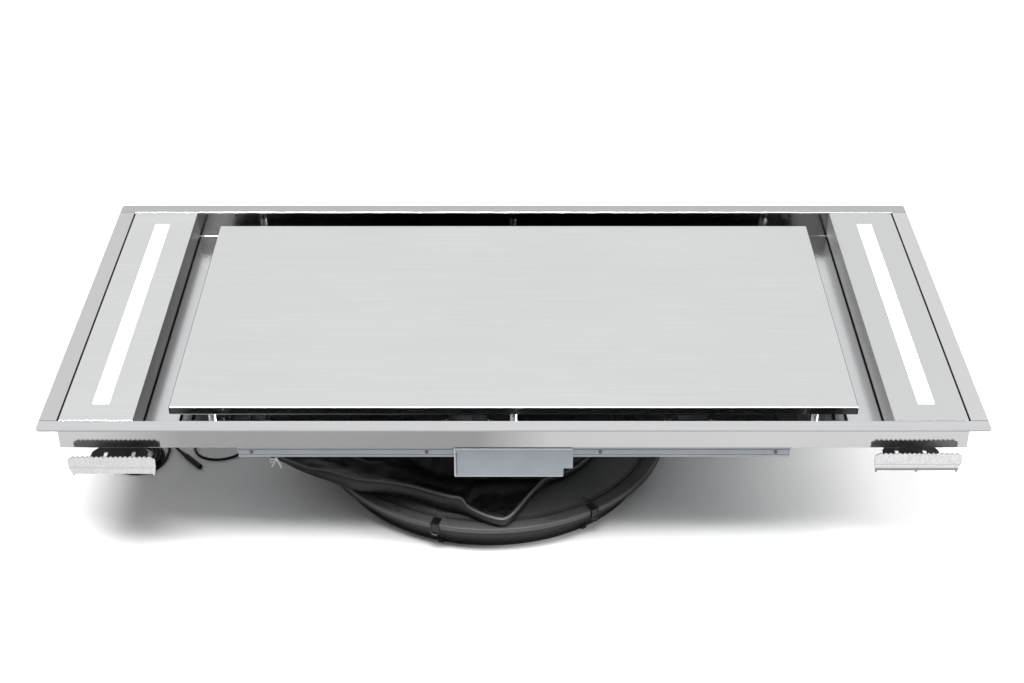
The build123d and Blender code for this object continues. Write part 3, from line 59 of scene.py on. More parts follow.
# Shades that more than one finish uses
RAIL_GREY = (0.15, 0.165, 0.183)
# painted highlight grey on the top edges of the rails and the control cover
HIGHLIGHT_GREY = (0.36, 0.375, 0.39)
BLACK = (0.003, 0.003, 0.003)

# Camera at the photograph's place and pitch
CAMERA_PLACE = (-0.002, -2.1235, 1.5226)
CAMERA_PITCH = 57.67
CAMERA_LENS = 62.58

# Housing: its axis, and the cloth's resting heights
HOUSING_X = -32.0
HOUSING_Y = -9.0
LID_TOP = 47.0
NECK_SLEEVE = 118.5
SLEEVE_TOP = 116.5


class Socket:
    """An output of a node, which takes part in sums as a number does."""

    def __init__(self, finish, link):
        self.finish = finish
        self.link = link

    def maths(self, operation, first, second):
        """The result of an operation on two numbers or outputs."""
        return self.finish.node("Math", {"operation": operation}, **{"0": first, "1": second})

    def __add__(self, other):
        return self.maths("ADD", self, other)

    def __radd__(self, other):
        return self.maths("ADD", other, self)

    def __sub__(self, other):
        return self.maths("SUBTRACT", self, other)

    def __rsub__(self, other):
        return self.maths("SUBTRACT", other, self)

    def __mul__(self, other):
        return self.maths("MULTIPLY", self, other)

    def __rmul__(self, other):
        return self.maths("MULTIPLY", other, self)


class Finish:
    """A material built of nodes on one shader."""

    def __init__(self, name, **values):
        self.material = bpy.data.materials.new(name)
        self.material.use_nodes = True
        self.tree = self.material.node_tree
        self.shader = self.tree.nodes["Principled BSDF"]
        self.place = self.node("TexCoord", output="Object")
        self.wear(**values)

    def node(self, kind, settings=None, output=0, **inputs):
        """Adds a node, sets it up, feeds its inputs by name or number and returns one output."""
        made = self.tree.nodes.new("ShaderNode" + kind)
        for setting, value in (settings or {}).items():
            if setting == "stops":
                self.stops(made.color_ramp, value)
            else:
                setattr(made, setting, value)
        for name, value in inputs.items():
            key = int(name) if name.isdigit() else name.replace("_", " ")
            self.feed(made.inputs[key], value)
        return Socket(self, made.outputs[output])

    def stops(self, ramp, stops):
        """Puts positions and shades into a colour ramp."""
        while len(ramp.elements) < len(stops):
            ramp.elements.new(0.5)
        for element, (position, shade) in zip(ramp.elements, stops):
            element.position = position
            element.color = (*colour(shade), 1)

    def feed(self, socket, value):
        """Links an input to a node's output, or sets it."""
        if isinstance(value, Socket):
            self.tree.links.new(value.link, socket)
        else:
            socket.default_value = value

    def wear(self, **values):
        """Sets or links the shader's own sockets."""
        for name, value in values.items():
            self.feed(self.shader.inputs[name.replace("_", " ")], value)
        return self

    def stretched(self, x=1.0, y=1.0, z=1.0):
        """The object's coordinates at these scales."""
        return self.node("Mapping", Vector=self.place, Scale=(x, y, z))

    def speckle(self, scale, where=None, detail=3.0, rough=0.55):
        """Noise from 0 to 1."""
        place = where or self.place
        return self.node("TexNoise", Vector=place, Scale=scale, Detail=detail, Roughness=rough)

    def ramp(self, factor, *stops):
        """A colour that runs through the stops, each a position and a shade."""
        return self.node("ValToRGB", {"stops": stops}, Fac=factor)

    def axes(self, names="XYZ"):
        """The object's coordinates along these axes in metres."""
        return [self.node("SeparateXYZ", {}, name, Vector=self.place) for name in names]

    def size_of(self, value):
        """The value without its sign."""
        return self.node("Math", {"operation": "ABSOLUTE"}, **{"0": value})

    def over(self, value, limit, edge=0.0002):
        """1 where a value is over the limit and 0 under it, with an edge this broad."""
        return self.node("MapRange", {}, Value=value, From_Min=limit - edge, From_Max=limit + edge)

    def under(self, value, limit, edge=0.0002):
        """1 where a value is under the limit and 0 over it."""
        return 1 - self.over(value, limit, edge)

    def band(self, value, low, high):
        """1 where a value lies between two limits."""
        return self.over(value, low) * self.under(value, high)

    def tinted(self, base, *layers):
        """The base colour, turned to the shade of each layer in turn where that layer's mask is 1."""
        for mask, shade in layers:
            fill = shade if isinstance(shade, Socket) else (*colour(shade), 1)
            base = self.node("Mix", {"data_type": "RGBA"}, 2, **{"0": mask, "6": base, "7": fill})
        return base

    def between(self, factor, low, high):
        """A number that runs from low to high as the factor runs from 0 to 1."""
        return low + (high - low) * factor

    def relief(self, height, depth):
        """Feeds a bump of this depth in metres."""
        return self.wear(Normal=self.node("Bump", Height=height, Distance=depth, Strength=1.0))


def colour(shade):
    """A grey or an RGB triple as a triple."""
    return (shade, shade, shade) if isinstance(shade, (int, float)) else shade


def times(shade, factor):
    """A shade made darker or lighter, at most white."""
    return tuple(min(1.0, factor * channel) for channel in shade)


def brushed_steel(name, shade, rough, streak=900.0):
    """Stainless sheet brushed along X: long fine streaks, faint clouds and smears."""
    steel = Finish(name, Metallic=1.0)
    grain_lines = steel.speckle(1.0, steel.stretched(7, streak, streak), detail=4, rough=0.6)
    clouds = steel.speckle(3.2, steel.stretched(1, 2.2, 2.2), detail=4)
    bands = steel.speckle(1.0, steel.stretched(1.1, 42, 42), detail=2)
    tone = 0.65 * grain_lines + 0.25 * clouds + 0.1 * bands
    steel.sheen = steel.ramp(tone, (0.3, times(shade, 0.93)), (0.7, times(shade, 1.05)))
    steel.gloss = steel.between(0.6 * grain_lines + 0.4 * clouds, 0.6 * rough, 1.4 * rough)
    steel.wear(Base_Color=steel.sheen, Roughness=steel.gloss)
    return steel.relief(grain_lines, 0.00003)


def tray_steel():
    """Sheet of the tray: brushed flange with joints at its corners, smoother folded walls, painted
    light and shade.
    """
    steel = brushed_steel("brushed_tray", (0.655, 0.66, 0.67), 0.2)
    x, y, z = steel.axes()
    across, deep = steel.size_of(x), steel.size_of(y)
    right = steel.over(x, 0.0)
    flat = steel.over(z, FLANGE_UNDER)
    folded = 1 - flat
    outside = flat * steel.over(across, WALL_X - 0.0015)
    ends = outside * steel.under(deep, WALL_Y - 0.0013)
    joint = outside * steel.band(deep, WALL_Y - 0.0018, WALL_Y - 0.0008)
    brink = flat * steel.under(across, 0.48) * steel.band(y, WALL_Y - 0.0022, WALL_Y - 0.0004)
    front = folded * steel.under(y, 0.0006 - WALL_Y)
    back = folded * steel.band(y, WALL_Y - 0.0035, WALL_Y - 0.0006)
    beside = steel.over(across, COVER_GAP[0], 0.0008) * steel.under(across, COVER_GAP[1], 0.0006)
    gap = beside * steel.under(z, GAP_TOP) * steel.under(deep, WALL_Y - 0.002)
    hidden = folded * (1 - steel.under(y, WALL_Y - 0.0004) * steel.under(across, WALL_X - 0.0006))
    beneath = steel.under(z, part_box("tray")[0][2] + 0.0005)
    reach = steel.node("MapRange", {}, Value=x, From_Min=-0.6, From_Max=0.6)
    # painted reflection of the shadowed floor on the front wall, darkest left of the middle
    front_wall_shade = steel.ramp(reach, (0.05, 0.28), (0.15, 0.165), (0.46, 0.145), (0.54, 0.265), (0.8, 0.275))
    # painted shade on the back wall, darkest in the middle
    shaded = steel.ramp(reach, (0.2, 0.5), (0.3, 0.35), (0.34, 0.12), (0.66, 0.12), (0.75, 0.3))
    sheen = steel.tinted(
        steel.sheen,
        # painted light and shade: the left flange end darker and the right one lighter
        (ends * (1 - right), 0.6),
        (ends * right, 0.68),
        # painted highlight along the back edge of the flange
        (brink, 0.85),
        (front, front_wall_shade),
        # painted shade in the gap beside the light covers
        (gap, 0.01),
        (back, shaded),
        (joint, 0.16),
        # painted shade on the back flange
        (flat * steel.over(y, WALL_Y), 0.51),
        # painted shade on the hidden outer walls, the flange's front edge and the underside
        (hidden, 0.3),
        (steel.under(y, 0.0006 - FLANGE_Y), 0.2),
        (beneath, 0.14),
    )
    smooth = 1 - 0.55 * (front + back) + 1.5 * beneath
    return steel.wear(Base_Color=sheen, Roughness=steel.gloss * smooth)


def panel_steel():
    """Sheet of the floating panel: brushed face, a painted highlight along its edges and painted shade
    on its folded lips.
    """
    high_x, high_y, high_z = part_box("centre_panel")[1]
    steel = brushed_steel("brushed_panel", (0.7, 0.705, 0.71), 0.22)
    x, y, z = steel.axes()
    across, deep = steel.size_of(x), steel.size_of(y)
    lip = steel.under(z, high_z - 0.0012)
    sill = steel.under(z, high_z - PANEL_LIP + 0.0009)
    sill = sill * steel.over(deep, high_y - 0.0006) * steel.under(x, -0.38, 0.34)
    # and a painted highlight on the lower fold of the lip at the left
    # painted highlight along the front and back edges of the face, painted shade on the lips and side
    # edges,
    sheen = steel.tinted(
        steel.sheen,
        (steel.over(deep, high_y - 0.0009) * (1 - lip), 0.92),
        (lip, 0.13),
        (sill, 0.7),
        (steel.over(across, high_x - 0.0009) * (1 - lip), 0.2),
    )
    # the painted highlight on the lower fold is made mostly non-metallic so that it takes the lamps'
    # light
    steel.wear(Metallic=1 - 0.85 * sill)
    return steel.wear(Base_Color=sheen, Roughness=steel.gloss * (1 - 0.6 * lip))


def cover_steel():
    """Sheet of the light covers: brushed top, with painted light and shade on tops, ends, inner walls
    and their foot.
    """
    low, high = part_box("light_cover_right")
    steel = brushed_steel("brushed_cover", (0.71, 0.715, 0.72), 0.22)
    x, y, z = steel.axes()
    right = steel.over(x, 0.0)
    top = steel.over(z, high[2] - 0.0008)
    inner = (1 - top) * steel.under(steel.size_of(x), low[0] + 0.0013)
    ends = top * steel.over(steel.size_of(y), high[1] - 0.0008)
    near = (1 - right) * steel.under(y, 0.0)
    sheen = steel.tinted(
        steel.sheen,
        # painted shade: the right cover's top darker than the left one
        (right * top, (0.65, 0.655, 0.66)),
        # painted highlight on the near end of the left cover, painted shade on the other ends
        (ends * near, 0.82),
        (ends * (1 - near), 0.36),
        # painted shade on the inner walls, lighter on the right one, and a painted dark gap at their
        # foot
        (inner, 0.16),
        (inner * right, 0.5),
        (inner * steel.under(z, low[2] + 0.0035, 0.0008), 0.01),
    )
    return steel.wear(Base_Color=sheen, Roughness=steel.gloss * (1 - inner) + 0.5 * inner)


def galvanised_steel(name, shade, rough=0.3):
    """Zinc-dipped sheet with its crystal spangle."""
    zinc = Finish(name, Metallic=1.0)
    wander = zinc.speckle(60, detail=3)
    cells = zinc.node("TexVoronoi", {}, "Color", Vector=zinc.place, Scale=620)
    fleck = zinc.node("SeparateColor", {}, 0, Color=cells)
    tone = 0.4 * fleck + 0.6 * wander
    zinc.wear(
        Base_Color=zinc.ramp(tone, (0.2, times(shade, 0.92)), (0.8, times(shade, 1.06))),
        Roughness=zinc.between(tone, 0.75 * rough, 1.35 * rough),
    )
    return zinc.relief(fleck, 0.00001)


def clamp_zinc(name, crease):
    """Zinc of one ceiling clamp: bright strip with painted shade in the crease at this height and on
    the plate behind.
    """
    zinc = galvanised_steel(name, (0.84, 0.85, 0.855), 0.42)
    y, z = zinc.axes("YZ")
    tone = zinc.speckle(650, detail=4, rough=0.65)
    face = zinc.tinted(
        zinc.ramp(tone, (0.34, (0.27, 0.272, 0.275)), (0.62, (0.42, 0.422, 0.426))),
        # painted shade: a dark line in the crease, and the plate behind darkened
        (0.6 * zinc.band(z, crease - 0.0006, crease + 0.0007), 0.2),
        (zinc.under(zinc.size_of(y), CLAMP_PLATE_Y), 0.14),
    )
    return zinc.wear(Base_Color=face)


def bright_metal(name, shade, rough):
    """Polished or plated wire and turned parts, with faint handling marks."""
    bright = Finish(name, Metallic=1.0)
    marks = bright.speckle(130, detail=5, rough=0.65)
    bright.wear(
        Base_Color=bright.ramp(marks, (0.3, times(shade, 0.92)), (0.7, times(shade, 1.06))),
        Roughness=bright.between(marks, 0.6 * rough, 1.5 * rough),
    )
    return bright.relief(marks, 0.00001)


def painted_steel(name, shade, rough):
    """Powder coat: fine orange peel and a little dust."""
    paint = Finish(name, Coat_Weight=0.15)
    peel = paint.speckle(950, detail=2)
    dust = paint.speckle(9, detail=5)
    paint.wear(
        Base_Color=paint.ramp(dust, (0.25, times(shade, 0.93)), (0.75, times(shade, 1.05))),
        Roughness=paint.between(dust, 0.85 * rough, 1.15 * rough),
    )
    return paint.relief(peel, 0.00006)


def rail_paint():
    """Grey powder coat of the rails, with a painted highlight along their top edge."""
    paint = painted_steel("rail_paint", RAIL_GREY, 0.38)
    # painted highlight along the top edge
    light_and_shade_band = paint.over(paint.axes("Z")[0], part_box("chassis_rails")[1][2] - 0.0012)
    clouds = paint.speckle(30, detail=3)
    coat = paint.ramp(clouds, (0.3, (0.126, 0.139, 0.154)), (0.7, (0.148, 0.16, 0.176)))
    return paint.wear(Base_Color=paint.tinted(coat, (light_and_shade_band, HIGHLIGHT_GREY)))


def cover_paint():
    """The same coat on the folded plate: painted highlights along its edges, painted shade in the fold
    at its left.
    """
    low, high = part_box("control_cover")
    paint = painted_steel("cover_paint", RAIL_GREY, 0.38)
    x, z = paint.axes("XZ")
    fold = paint.band(x, low[0] + 0.0026, low[0] + 0.0037)
    fold = fold * paint.band(z, low[2] + 0.003, high[2] - 0.006)
    clouds = paint.speckle(30, detail=3)
    coat = paint.tinted(
        paint.ramp(clouds, (0.3, (0.112, 0.126, 0.142)), (0.7, (0.126, 0.142, 0.16))),
        # painted highlights on the left, bottom and top edges, and painted shade in the fold
        (paint.under(x, low[0] + 0.0012), (0.3, 0.315, 0.33)),
        (0.7 * paint.under(z, low[2] + 0.0009), (0.32, 0.335, 0.35)),
        (0.8 * paint.over(z, high[2] - 0.0012), HIGHLIGHT_GREY),
        (fold, 0.02),
    )
    return paint.wear(Base_Color=coat)


def moulded_plastic(name, shade, rough, texture=0.00008, scale=1500, dust=0.25, shine=0.5):
    """Moulded plastic with its spark-eroded skin and a film of dust."""
    plastic = Finish(name, Specular_IOR_Level=shine)
    skin = plastic.speckle(scale, detail=2)
    film = plastic.speckle(14, detail=6, rough=0.6)
    scuffs = plastic.speckle(1.0, plastic.stretched(28, 340, 60), detail=3)
    tone = 0.7 * film + 0.3 * scuffs
    dusty = tuple(channel + dust * 0.03 for channel in shade)
    plastic.wear(
        Base_Color=plastic.ramp(tone, (0.35, times(shade, 0.85)), (0.75, dusty)),
        Roughness=plastic.between(tone, 0.85 * rough, 1.2 * rough),
    )
    return plastic.relief(skin, texture)


def lid_plastic():
    """Grained lid of the blower housing, with painted shade darkening the ring outside its groove."""
    plastic = moulded_plastic("lid_plastic", (0.02, 0.02, 0.0205), 0.55, scale=700, shine=0.3)
    x, y = plastic.axes("XY")
    out_x, out_y = x - HOUSING_X * MM, y - HOUSING_Y * MM
    reach = plastic.node("Math", {"operation": "SQRT"}, **{"0": out_x * out_x + out_y * out_y})
    # painted shade: the ring outside the groove is coloured darker than the disc, against the light on
    # the rim
    ring = plastic.over(reach, GROOVE_RADIUS, 0.0008)
    grain = plastic.speckle(900, detail=4, rough=0.7)
    disc = plastic.ramp(grain, (0.3, 0.045), (0.7, 0.085))
    light_and_shade_band = plastic.ramp(grain, (0.3, 0.028), (0.7, 0.046))
    return plastic.wear(Base_Color=plastic.tinted(disc, (ring, light_and_shade_band)))


def canvas_cloth():
    """Black plain-weave canvas: the weave follows the piece's own UV in metres."""
    cloth = Finish("canvas_cloth", Specular_IOR_Level=0.26)
    laid = cloth.node("UVMap", {"uv_map": "cut"})
    threads = 2 * math.pi / THREAD_PITCH / 20
    warp = cloth.node("TexWave", {"bands_direction": "X"}, Vector=laid, Scale=threads)
    weft = cloth.node("TexWave", {"bands_direction": "Y"}, Vector=laid, Scale=threads)
    weave = warp * weft
    lint = cloth.speckle(260, detail=5)
    fade = cloth.speckle(11, detail=4)
    from_lip = cloth.size_of(cloth.node("SeparateXYZ", {}, 1, Vector=laid))
    # painted highlight: a lighter line along the crest of the lip
    lip = cloth.under(from_lip, 0.0013, 0.0005)
    tone = 0.35 * weave + 0.25 * lint + 0.4 * fade
    cloth.wear(
        Base_Color=cloth.tinted(cloth.ramp(tone, (0.2, 0.0018), (0.8, 0.008)), (0.8 * lip, 0.1)),
        Roughness=cloth.between(lint, 0.36, 0.56),
    )
    return cloth.relief(0.7 * weave + 0.3 * lint, 0.0002)


def woven_tape():
    """White cotton tape."""
    tape = Finish("cotton_tape", Roughness=0.85, Sheen_Weight=0.2)
    ribs = tape.node("TexWave", {"bands_direction": "DIAGONAL"}, Vector=tape.place, Scale=420)
    soil = tape.speckle(120, detail=4)
    tape.wear(Base_Color=tape.ramp(0.4 * ribs + 0.6 * soil, (0.2, (0.62, 0.61, 0.58)), (0.8, 0.88)))
    return tape.relief(ribs, 0.0002)


def lead_rubber():
    """Black jacket, satin, with fine drawing marks."""
    jacket = Finish("lead_jacket", Specular_IOR_Level=0.15)
    bloom = jacket.speckle(40, detail=5)
    grain = jacket.speckle(900, detail=2)
    jacket.wear(
        Base_Color=jacket.ramp(bloom, (0.3, 0.0025), (0.75, 0.009)),
        Roughness=jacket.between(bloom, 0.32, 0.5),
    )
    return jacket.relief(grain, 0.00004)


def opal_lens():
    """Opal strip lit from behind, its tint wandering a touch between cool and warm along it."""
    lens = Finish("opal_lens", Roughness=0.4, Emission_Strength=1.4)
    along = lens.speckle(1.0, lens.stretched(3, 30, 1), detail=1)
    lens.wear(
        Base_Color=lens.ramp(along, (0.3, (0.93, 0.94, 0.96)), (0.7, (0.98, 0.98, 0.97))),
        Emission_Color=lens.ramp(along, (0.3, (0.94, 0.96, 1.0)), (0.7, (1.0, 0.99, 0.97))),
    )
    return lens.relief(lens.speckle(700), 0.00005)


def circuit_laminate():
    """Green laminate with a pattern of traces; the parts on it are dark."""
    board = Finish("circuit_laminate", Roughness=0.45)
    traces = board.node("TexBrick", {}, "Fac", Vector=board.place, Scale=90.0, Mortar_Size=0.03)
    stain = board.speckle(50, detail=4)
    tone = 0.5 * traces + 0.5 * stain
    board.wear(Base_Color=board.ramp(tone, (0.3, (0.02, 0.09, 0.05)), (0.8, (0.05, 0.16, 0.09))))
    return board.relief(traces, 0.0001)


FINISHES = {
    "brushed_tray": tray_steel(),
    "brushed_panel": panel_steel(),
    "panel_inside": brushed_steel("panel_inside", (0.5, 0.5, 0.51), 0.4),
    "chrome_post": bright_metal("chrome_post", (0.8, 0.8, 0.82), 0.08),
    "bright_pin": bright_metal("bright_pin", (0.7, 0.7, 0.72), 0.18),
    "zinc_screw": bright_metal("zinc_screw", (0.72, 0.73, 0.75), 0.25),
    "dark_screw": bright_metal("dark_screw", (0.06, 0.06, 0.065), 0.35),
    "brushed_cover": cover_steel(),
    "lit_lens": opal_lens(),
    "profile_aluminium": brushed_steel("profile_aluminium", (0.78, 0.79, 0.8), 0.35, streak=400.0),
    "lamp_board": moulded_plastic("lamp_board", (0.85, 0.85, 0.83), 0.4, dust=0.5),
    "galvanised": galvanised_steel("galvanised", (0.7, 0.72, 0.74)),
    "filter_steel": galvanised_steel("filter_steel", (0.5, 0.51, 0.52), 0.35),
    "handle_wire": bright_metal("handle_wire", (0.75, 0.75, 0.77), 0.12),
    "rail_paint": rail_paint(),
    "control_cover": cover_paint(),
    "circuit_board": circuit_laminate(),
    "driver_case": moulded_plastic("driver_case", (0.75, 0.75, 0.74), 0.45),
    "gland_plastic": moulded_plastic("gland_plastic", (0.01, 0.01, 0.01), 0.42),
    "housing_plastic": moulded_plastic(
        "housing_plastic", (0.008, 0.008, 0.0085), 0.55, dust=0.05, shine=0.2
    ),
    "lid_plastic": lid_plastic(),
    "clip_plastic": moulded_plastic("clip_plastic", BLACK, 0.3, dust=0.03, shine=0.25),
    "motor_core": painted_steel("motor_core", (0.16, 0.15, 0.14), 0.45),
    "motor_case": bright_metal("motor_case", (0.5, 0.5, 0.51), 0.35),
    "wheel_plastic": moulded_plastic("wheel_plastic", (0.04, 0.04, 0.042), 0.45),
    "flap_plastic": moulded_plastic("flap_plastic", (0.1, 0.1, 0.105), 0.45),
    "guard_wire": bright_metal("guard_wire", (0.62, 0.63, 0.65), 0.3),
    "canvas": canvas_cloth(),
    "tie_tape": woven_tape(),
    "lead_jacket": lead_rubber(),
    "plug_plastic": moulded_plastic("plug_plastic", BLACK, 0.38, dust=0.05, shine=0.15),
}
for clamp in ("clamp_front_left", "clamp_front_right", "clamp_rear_left", "clamp_rear_right"):
    FINISHES[clamp] = clamp_zinc(clamp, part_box(clamp)[0][2] + SKIRT_HEIGHT)
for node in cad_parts.values():
    for slot in node.material_slots:
        finish = node.name if node.name in FINISHES else slot.material.name.split(".")[0]
        slot.material = FINISHES[finish].material


def settle(piece, slot, body, finish=None):
    """Gives a new piece its finish and the body that it rides on."""
    piece.data.materials.clear()
    piece.data.materials.append(FINISHES[finish or slot].material)
    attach(piece, body)
    return piece


def skin(name, rows, closed=True, cap_start=False, cap_end=False, uv=None):
    """A mesh over a grid of points in millimetres; closed joins each row's end to its start."""
    mesh = bpy.data.meshes.new(name)
    count = len(rows[0])
    points = [[value * MM for value in point] for row in rows for point in row]
    faces = []
    steps = count if closed else count - 1
    for row in range(len(rows) - 1):
        for column in range(steps):
            near = row * count + column
            beside = row * count + (column + 1) % count
            faces.append((near, beside, beside + count, near + count))
    if cap_start:
        faces.append(tuple(range(count - 1, -1, -1)))
    if cap_end:
        faces.append(tuple(range(len(points) - count, len(points))))
    mesh.from_pydata(points, [], faces)
    if uv:
        layer = mesh.uv_layers.new(name="cut")
        for loop in mesh.loops:
            layer.data[loop.index].uv = uv[loop.vertex_index]
    mesh.polygons.foreach_set("use_smooth", [True] * len(mesh.polygons))
    mesh.update()
    piece = bpy.data.objects.new(name, mesh)
    bpy.context.scene.collection.objects.link(piece)
    return piece


def make_active(piece):
    """Selects this piece alone and makes it the active one."""
    bpy.ops.object.select_all(action="DESELECT")
    piece.select_set(True)
    bpy.context.view_layer.objects.active = piece


def apply_modifier(piece, kind, **settings):
    """Adds a modifier with these settings and applies it."""
    make_active(piece)
    modifier = piece.modifiers.new(kind.lower(), kind)
    for setting, value in settings.items():
        setattr(modifier, setting, value)
    bpy.ops.object.modifier_apply(modifier=modifier.name)


# Lead: the route of its solid, from the gland under the tray down to the floor
LEAD_RADIUS = 1.9
LEAD_FLOOR = 2.0
LEAD_TOP = 6.5
COIL_Y = -36.0
COIL_X = (-542.2, -544.6)
COIL_OUTER = 39.8
COIL_INNER = 24.4
COIL_UPPER = 36.4
TURN_POINTS = 14
lead_route = [
    (-490, 60, 158),
    (-490, 60, 120),
    (-486, 60, 76),
    (-475, 58, 38),
    (-455, 53, 10),
    (-425, 42, 2),
    (-398, 20, 2),
    (-389, -8, 2),
    (-399, -31, 2),
    (-428, -43, 2),
    (-457, -33, 2),
    (-467, -6, 2),
    (-464, 22, 2),
    (-481, 39, 2),
    (-504.5, 35, 2),
    (-514.5, 13, 2),
    (-501, -10.5, 2),
    (-501, -30, 2),
]


def wind(centre, radii, heights, start, half_turns):
    """Points of a clockwise winding: centre X, radius and height run from their first to second."""
    steps = round(half_turns * TURN_POINTS / 2)
    swell = 1 / math.cos(math.pi / TURN_POINTS)
    made = []
    for step in range(1, steps + 1):
        share = step / steps
        angle = math.radians(start - 180 * half_turns * share)
        middle = centre[0] + (centre[1] - centre[0]) * share
        radius = swell * (radii[0] + (radii[1] - radii[0]) * share)
        height = heights[0] + (heights[1] - heights[0]) * share
        made.append((middle + radius * math.cos(angle), COIL_Y + radius * math.sin(angle), height))
    return made


lead_route += wind((COIL_X[0], COIL_X[0]), (COIL_OUTER, COIL_INNER), (LEAD_FLOOR, LEAD_FLOOR), 0, 7)
lead_route += wind(COIL_X, (COIL_INNER, COIL_INNER), (LEAD_FLOOR, LEAD_TOP), 180, 1)
lead_route += wind((COIL_X[1], COIL_X[1]), (COIL_INNER, COIL_UPPER), (LEAD_TOP, LEAD_TOP), 0, 5)
lead_route += [
    (-580, -16, 6.5),
    (-573, -3, 6.5),
    (-560, 6, 6.5),
    (-541, 10.5, 6.5),
    (-520, 9, 6.5),
    (-504, 0, 6.5),
    (-494.4, -10.8, 6.5),
    (-486.4, -19.7, 4.2),
    (-481, -25.6, 4.0),
]
lead_curve = bpy.data.curves.new("lead_run", "CURVE")
lead_curve.dimensions = "3D"
lead_curve.bevel_depth = LEAD_RADIUS * MM
lead_curve.bevel_resolution = 3
lead_curve.resolution_u = 4
lead_curve.use_fill_caps = True
lead_spline = lead_curve.splines.new("NURBS")
lead_spline.points.add(len(lead_route) - 1)
for control, point in zip(lead_spline.points, lead_route):
    control.co = (*(value * MM for value in point), 1)
lead_spline.order_u = 3
lead_spline.use_endpoint_u = True
lead_run = bpy.data.objects.new("lead_run", lead_curve)
bpy.context.scene.collection.objects.link(lead_run)
settle(lead_run, "lead_jacket", "hood")
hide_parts("lead", "lead_coil")


def relief_ring(share, radius):
    """A level ring of points in millimetres round the lead, at this share of the relief's length."""
    height = RELIEF_TOP - RELIEF_LENGTH * share
    made = []
    for side in range(RELIEF_SIDES):
        angle = 2 * math.pi * side / RELIEF_SIDES
        made.append((LEAD_X + radius * math.cos(angle), LEAD_Y + radius * math.sin(angle), height))
    return made


# Strain relief: a tapered boot with grooves between its ribs, round the lead under the gland
LEAD_X, LEAD_Y = lead_route[0][:2]
RELIEF_TOP = 160.0
RELIEF_LENGTH = 24.0
RELIEF_RADIUS = 5.2
RELIEF_TAPER = 2.4
RELIEF_RIBS = 6
RELIEF_SIDES = 32
relief_rows = [relief_ring(0, LEAD_RADIUS + 0.4)]
for rib in range(RELIEF_RIBS):
    for part, inset in ((0.0, 0.0), (0.62, 0.0), (0.7, 0.7), (0.92, 0.7)):
        share = (rib + part) / RELIEF_RIBS
        radius = RELIEF_RADIUS - RELIEF_TAPER * share - inset * (1 - 0.4 * share)
        relief_rows.append(relief_ring(share, radius))
relief_rows.append(relief_ring(1, 2.5))
relief_rows.append(relief_ring(1, LEAD_RADIUS + 0.1))
relief = skin("strain_relief", [row[::-1] for row in relief_rows])
settle(relief, "gland_plastic", "hood")

# Canvas sleeve: the lip of the cloth, counterclockwise from the right of its mouth.
# Each point: X, Y, height of the lip's crest, height of its foot, how broad the lip's roll is
lip_points = [
    (43, -166, 63, 50, 10),
    (66, -150, 60, 49, 10),
    (100, -112, 56, 48.4, 8),
    (128, -62, 54, 48.2, 7),
    (134, -4, 54, 48.2, 7),
    (122, 52, 55, 48.2, 7),
    (90, 103, 54, 48.2, 7),
    (38, 139, 54, 48.2, 7),
    (-24, 155, 55, 48.2, 7),
    (-84, 146, 54, 48.2, 7),
    (-140, 114, 54, 48.2, 7),
    (-180, 62, 55, 48.2, 7),
    (-198, 8, 57, 48.4, 8),
    (-208, -34, 62, 49, 10),
    (-226, -58, 64, 50, 12),
    (-256, -78, 63, 50.4, 12),
    (-292, -91, 60, 50.6, 9),
    (-318, -95.5, 58, 50.8, 5),
    (-330, -97.0, 56.4, 51, 3),
    (-336, -99, 57.5, 51, 3),
    (-336.5, -103, 57.0, 50.6, 3),
    (-331, -104.5, 56.0, 50.4, 3),
    (-318, -113, 57, 50.6, 4),
    (-300, -128, 60, 51, 6),
    (-277, -144, 63, 51.5, 8),
    (-250, -159, 69, 52, 9),
    (-228, -174, 73, 53, 10),
    (-206, -184, 74.5, 54, 10),
    (-173, -190, 75, 54.5, 10),
    (-138, -200, 75.5, 54.5, 10),
    (-108, -214, 76, 54.5, 9),
    (-84, -225, 77, 54, 8),
    (-70, -229, 77, 53, 5),
    (-62, -231, 66, 52, 3),
    (-47, -240, 62.5, 51, 2.5),
    (-30, -249, 61.5, 51, 2.5),
    (-12, -253, 61.5, 51, 2.5),
    (2, -237, 62, 51, 2.5),
    (16, -210, 62.5, 51, 2.5),
    (29, -187, 63, 51, 2.5),
]
LIP_COLUMNS = 540
UP_ROWS = 56
NECK_GAP = 1.5
CLOTH_THICKNESS = 1.3
CLOTH_REST = 49.0
# Mound of gathers: distance from the neck, height
MOUND = [(0, 116), (7, 113), (15, 103), (22, 90), (30, 76), (37, 64), (43, 56), (50, 51), (62, 49)]
# The lip's turn: share of its drop, how far it leans out; then how far it tucks in, how far it lifts
LIP_TURN = ((0.06, 1.6), (0.2, 2.6), (0.4, 3.0), (0.6, 2.4), (0.8, 1.0), (0.93, -0.8))
LIP_TUCK = ((3.5, 0.0), (8.0, 0.6), (14.0, 1.4))
# Corners of the open mouth, counterclockwise from its left
MOUTH = ((-66.0, -218.0), (-10.0, -250.0), (38.0, -168.0), (4.0, -152.0), (-48.0, -176.0))


def smooth_step(value):
    """0 up to 0 and 1 from 1 on, with a soft rise between them."""
    held = min(1.0, max(0.0, value))
    return held * held * (3 - 2 * held)


def catmull(before, start, end, after, share):
    """A point of a smooth curve through start and end, number by number."""
    made = []
    for a, b, c, d in zip(before, start, end, after):
        square = 2 * a - 5 * b + 4 * c - d
        cube = 3 * b - a - 3 * c + d
        made.append(0.5 * (2 * b + (c - a) * share + square * share ** 2 + cube * share ** 3))
    return made


